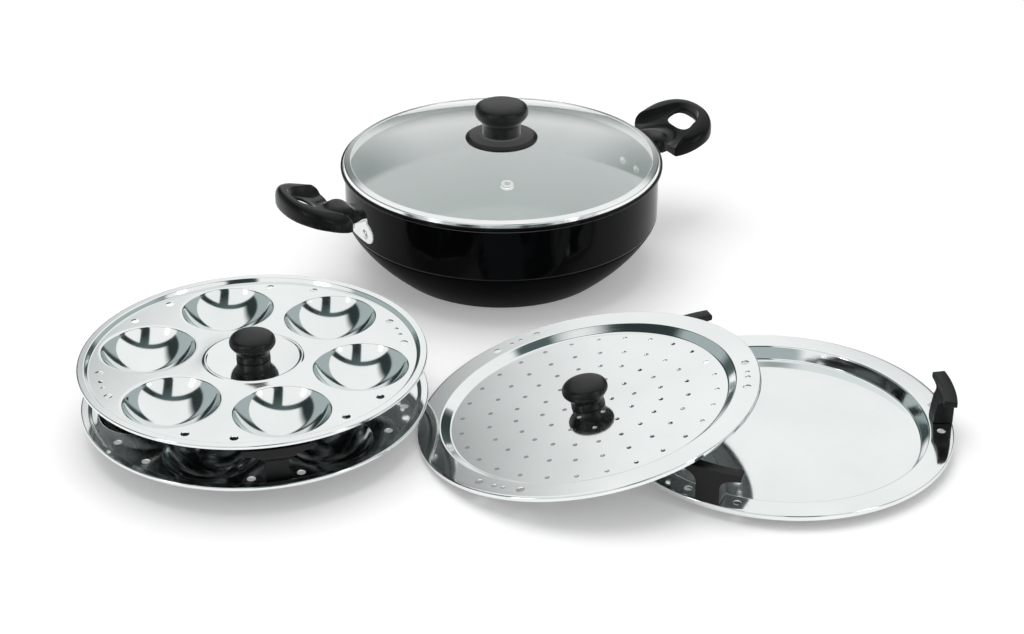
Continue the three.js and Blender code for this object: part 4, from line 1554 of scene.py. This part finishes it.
@dataclass
class IdliStack:
    """Two idli plates, the upper one with a knob on the supports of the lower one."""

    plate: IdliPlate = field(default_factory=IdliPlate)
    knob: PlateKnob = field(default_factory=PlateKnob)
    lower_turn: float = -76.2
    upper_turn: float = 20.8
    support_height: float = 30.4
    support_inset: float = 7.8

    def build(self) -> None:
        """Makes both plates with their supports and knob."""
        plate = self.plate
        low = plate_frame("idli_plate_lower", self.lower_turn)
        high = plate_frame("idli_plate_upper", self.upper_turn)
        lower = plate.mesh("idli_plate_lower", 0.0)
        publish(lower, "idli_plate_lower", Body.IDLI_LOWER, [PLATE_STEEL, SHADED_UNDERSIDE_STEEL], low)
        support = PlateSupport(self.support_height, plate.hole_circle, plate.radius - self.support_inset)
        names = {"idli_support_front": 0.0, "idli_support_rear": 180.0}
        support.build(Body.IDLI_LOWER, low, names, -plate.recess, plate.screw_turn, plate.sheet)
        upper = plate.mesh("idli_plate_upper", self.knob.hole + SEAT)
        publish(upper, "idli_plate_upper", Body.IDLI_UPPER, [PLATE_STEEL, SHADED_UNDERSIDE_STEEL], high)
        self.knob.build("idli_knob", Body.IDLI_UPPER, high, -plate.recess, plate.sheet)


@dataclass
class TrayPlate:
    """Pressed tray with a wide flange that carries holes in three groups."""

    depth: float
    slope: float
    lip: float
    groups: Line
    radius: float = 122.0
    sheet: float = 0.9
    flange: float = 17.0
    hole_circle: float = 113.0
    # Widths that the roundings of the floor, the shoulder and the rim take up
    floor_edge: float = 3.0
    shoulder_edge: float = 3.4
    rim_edge: float = 2.6

    def mesh(self, name: str, floor_holes: Sequence[Sequence[Point]]) -> Mesh:
        """Presses the tray.

        Args:
            name: name of the mesh.
            floor_holes: loops left open in the floor.

        Returns:
            The mesh with its rim at height 0.
        """
        skin = PressedSheet(name, self.sheet)
        shoulder = self.radius - self.flange
        floor = shoulder - self.slope
        flat = floor - self.floor_edge
        inner, outer = shoulder + self.shoulder_edge, self.radius - self.rim_edge
        skin.band(filleted([
            (flat, -self.depth, 0), (floor, -self.depth, 2.2), (shoulder, 0.0, 1.8), (inner, 0.0, 0)], 6))
        skin.band(filleted([(outer, 0.0, 0), (self.radius, 0.0, 1.2), (self.radius, -self.lip, 0)], 6))
        loops = [ring(outer, skin.sides), ring(inner, skin.sides)]
        for group in (0.0, 120.0, 240.0):
            for offset, hole in self.groups:
                loops.append(ring(hole, HOLE_SIDES, on_circle(self.hole_circle, group + offset)))
        skin.web(0.0, loops)
        skin.web(-self.depth, [ring(flat, skin.sides), *floor_holes])
        return skin.mesh()


@dataclass
class SteamerPlate:
    """Perforated tray that leans from the table onto the supports of the flat plate."""

    spin: float = -3.5
    hole: float = 1.75
    first_hole: float = 9.6
    rings: tuple[tuple[float, int], ...] = ((17.0, 6), (33.0, 12), (52.0, 20), (71.0, 24), (91.0, 28))
    tray: TrayPlate = field(default_factory=lambda: TrayPlate(
        5.0, 6.0, 3.0, ((-8.5, 3.0), (-1.8, 2.0), (1.8, 1.7), (8.5, 3.0))))
    knob: PlateKnob = field(default_factory=PlateKnob)

    def build(self) -> None:
        """Makes the plate with its holes and knob."""
        place = plate_frame("steamer_plate", self.spin)
        holes = [ring(self.knob.hole + SEAT, HOLE_SIDES)]
        for circle, count in self.rings:
            turns = (self.first_hole + 360.0 * i / count for i in range(count))
            holes += [ring(self.hole, PIN_SIDES, on_circle(circle, turn)) for turn in turns]
        mesh = self.tray.mesh("steamer_plate", holes)
        publish(mesh, "steamer_plate", Body.STEAMER, [PLATE_STEEL, SHADED_UNDERSIDE_STEEL], place)
        self.knob.build("steamer_knob", Body.STEAMER, place, -self.tray.depth, self.tray.sheet)


@dataclass
class FlatPlate:
    """Plain tray on the table with three supports on its flange."""

    spin: float = 0.5
    support_height: float = 25.2
    support_outer: float = 121.5
    screw_turn: float = 2.3
    tray: TrayPlate = field(default_factory=lambda: TrayPlate(
        9.6, 5.0, 3.4, ((-9.0, 3.0), (-2.3, 1.7), (2.3, 1.7), (9.0, 3.0))))

    def build(self) -> None:
        """Makes the tray and its supports."""
        place = plate_frame("flat_plate", self.spin)
        mesh = self.tray.mesh("flat_plate", [])
        publish(mesh, "flat_plate", Body.FLAT_TRAY, [PLATE_STEEL, SHADED_UNDERSIDE_STEEL], place)
        support = PlateSupport(self.support_height, self.tray.hole_circle, self.support_outer)
        names = {"plate_support_right": 0.0, "plate_support_rear": 120.0, "plate_support_front": 240.0}
        support.build(Body.FLAT_TRAY, place, names, 0.0, self.screw_turn, self.tray.sheet)


@dataclass(frozen=True)
class SoftLamp:
    """Soft lamp with an oblong face, placed in metres, that polished pieces may show."""

    name: str
    place: Point3
    size: Point
    power: float
    mirrored: bool

    def build(self, aim: Point3) -> None:
        """Hangs the lamp.

        Args:
            aim: point that it faces.
        """
        data = bpy.data.lights.new(self.name, "AREA")
        data.shape = "RECTANGLE"
        data.size, data.size_y = self.size
        data.energy = self.power
        lamp = placed(self.name, data)
        lamp.visible_glossy = self.mirrored
        lamp.visible_transmission = self.mirrored
        lamp.location = self.place
        lamp.rotation_euler = (Vector(aim) - Vector(self.place)).to_track_quat("-Z", "Y").to_euler()


@dataclass
class Studio:
    """Pale floor, soft lamps, surroundings with a bright panel and two boxes, and the camera."""

    # Bright panel behind the set: soft edges by direction, and how it widens with height
    panel: Colour = (1.0, 1.0, 1.0)
    panel_left: Point = (0.13, 0.32)
    panel_right: Point = (0.13, 0.31)
    panel_foot: Point = (0.02, 0.24)
    panel_front: Point = (-0.03, 0.03)
    panel_lean: float = 0.09
    panel_spread: Point = (0.6, 4.0)
    spread_levels: Point = (0.48, 0.62)
    spread_share: float = 0.5
    # Two bright boxes in front of the set and above it
    box_front: Point = (0.24, 0.86)
    box_left: Point = (-0.86, 0.04)
    box_right: Point = (0.3, 0.86)
    box_foot: Point = (0.3, 0.4)
    box_soft: Point = (0.05, 0.06)
    # Grey fill low down on all sides but the back, and the walls by height
    fill: Colour = (0.42, 0.48, 0.48)
    fill_back: Point = (0.66, 0.78)
    fill_top: Point = (0.5, 0.58)
    walls: tuple[tuple[float, Colour], ...] = (
        (0.0, (0.09, 0.12, 0.12)), (0.3, (0.04, 0.055, 0.055)),
        (0.8, (0.028, 0.038, 0.038)), (1.0, (0.1, 0.14, 0.14)))
    ambient: Colour = (0.55, 0.55, 0.55)
    # Floor in metres
    glow: float = 0.24
    floor_size: float = 14.0
    floor_drop: float = 0.0002
    floor_colour: Colour = (0.86, 0.86, 0.86)
    floor_rough: float = 0.9
    lamps: tuple[SoftLamp, ...] = (
        SoftLamp("overhead_softbox", (-0.25, 0.1, 1.9), (1.6, 1.6), 19.0, False),
        SoftLamp("left_strip", (-1.25, -1.15, 0.75), (0.18, 0.9), 2.0, True),
        SoftLamp("right_strip", (1.3, -1.1, 0.8), (0.18, 0.9), 2.0, True))
    aim: Point3 = (0.0, -0.15, 0.0)
    camera_place: Point3 = (8.42, -1452.9, 730.9)
    pitch: float = 28.476
    lens: float = 68.85
    sensor: float = 36.0
    clip_end: float = 100.0

    def build_floor(self) -> None:
        """Lays the floor, which shows as white where no shadow falls."""
        bm = bmesh.new()
        bmesh.ops.create_grid(bm, x_segments=8, y_segments=8, size=self.floor_size / 2)
        bmesh.ops.translate(bm, vec=(0.0, 0.0, -self.floor_drop), verts=bm.verts)
        mesh = bpy.data.meshes.new("studio_floor")
        bm.to_mesh(mesh)
        bm.free()
        floor = placed("studio_floor", mesh)
        shader = Shader("studio_floor_paint")
        shader.fix(Base_Color=(*self.floor_colour, 1.0), Roughness=self.floor_rough, Specular_IOR_Level=0.0)
        glow = shader.maths("MULTIPLY", shader.seen(), self.glow)
        shader.fix(Emission_Color=(1.0, 1.0, 1.0, 1.0), Emission_Strength=glow)
        mesh.materials.append(shader.material)

    def build_world(self) -> None:
        """Surrounds the set with even light, and shows polished pieces the panel and boxes on grey walls."""
        world = bpy.data.worlds.new("studio_surroundings")
        bpy.context.scene.world = world
        world.use_nodes = True
        bench = Bench(world.node_tree)
        spot = bench.add("ShaderNodeSeparateXYZ", bench.add("ShaderNodeTexCoord").outputs["Generated"])
        x, y, z = (spot.outputs[axis] for axis in "XYZ")
        rise = bench.step(z, self.spread_levels, (0.0, self.spread_share))
        panel = bench.product(
            bench.step(bench.sum((x, -1.0), (rise, -self.panel_spread[0])), self.panel_left, FALL),
            bench.step(bench.sum((x, 1.0), (rise, -self.panel_spread[1])), self.panel_right, FALL),
            bench.step(bench.sum((y, 1.0), (z, self.panel_lean)), self.panel_front, RISE),
            bench.step(z, self.panel_foot, RISE))
        soft, deep = self.box_soft
        near, far = self.box_front
        columns = []
        for left, right in (self.box_left, self.box_right):
            columns.append(bench.product(
                bench.step(x, (left, left + soft), RISE), bench.step(x, (right - soft, right), FALL)))
        boxes = bench.product(
            bench.step(y, (-far, deep - far), RISE), bench.step(y, (-deep - near, -near), FALL),
            bench.step(z, self.box_foot, RISE), bench.fold("MAXIMUM", *columns))
        fill = bench.product(bench.step(y, self.fill_back, FALL), bench.step(z, self.fill_top, FALL))
        walls = bench.blend(fill, bench.ramp(z, self.walls), self.fill)
        bright = bench.fold("MAXIMUM", panel, boxes)
        mirror = bench.add("ShaderNodeBackground", bench.blend(bright, walls, self.panel))
        ambient = bench.add("ShaderNodeBackground", (*self.ambient, 1.0))
        sides = [node.outputs["Background"] for node in (ambient, mirror)]
        choice = bench.add("ShaderNodeMixShader", bench.seen(), *sides)
        bench.add("ShaderNodeOutputWorld", choice.outputs["Shader"])

    def build_camera(self) -> None:
        """Stands the camera where the set was seen from."""
        data = bpy.data.cameras.new("viewer")
        data.lens = self.lens
        data.sensor_width = self.sensor
        data.sensor_fit = "HORIZONTAL"
        data.clip_end = self.clip_end
        camera = placed("viewer", data)
        camera.location = Vector(self.camera_place) * MM
        camera.rotation_euler = Euler((math.radians(90.0 - self.pitch), 0.0, 0.0))
        bpy.context.scene.camera = camera

    def build(self) -> None:
        """Sets up the whole studio."""
        bpy.context.scene.view_settings.view_transform = "Standard"
        self.build_floor()
        self.build_world()
        for lamp in self.lamps:
            lamp.build(self.aim)
        self.build_camera()


def main() -> None:
    """Builds the set piece by piece, then the studio."""
    logging.basicConfig(level=logging.INFO, format="%(message)s")
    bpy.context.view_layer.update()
    KadaiPan().build()
    GlassLid().build()
    IdliStack().build()
    SteamerPlate().build()
    FlatPlate().build()
    Studio().build()
    bpy.context.view_layer.update()


if __name__ == "__main__":
    main()
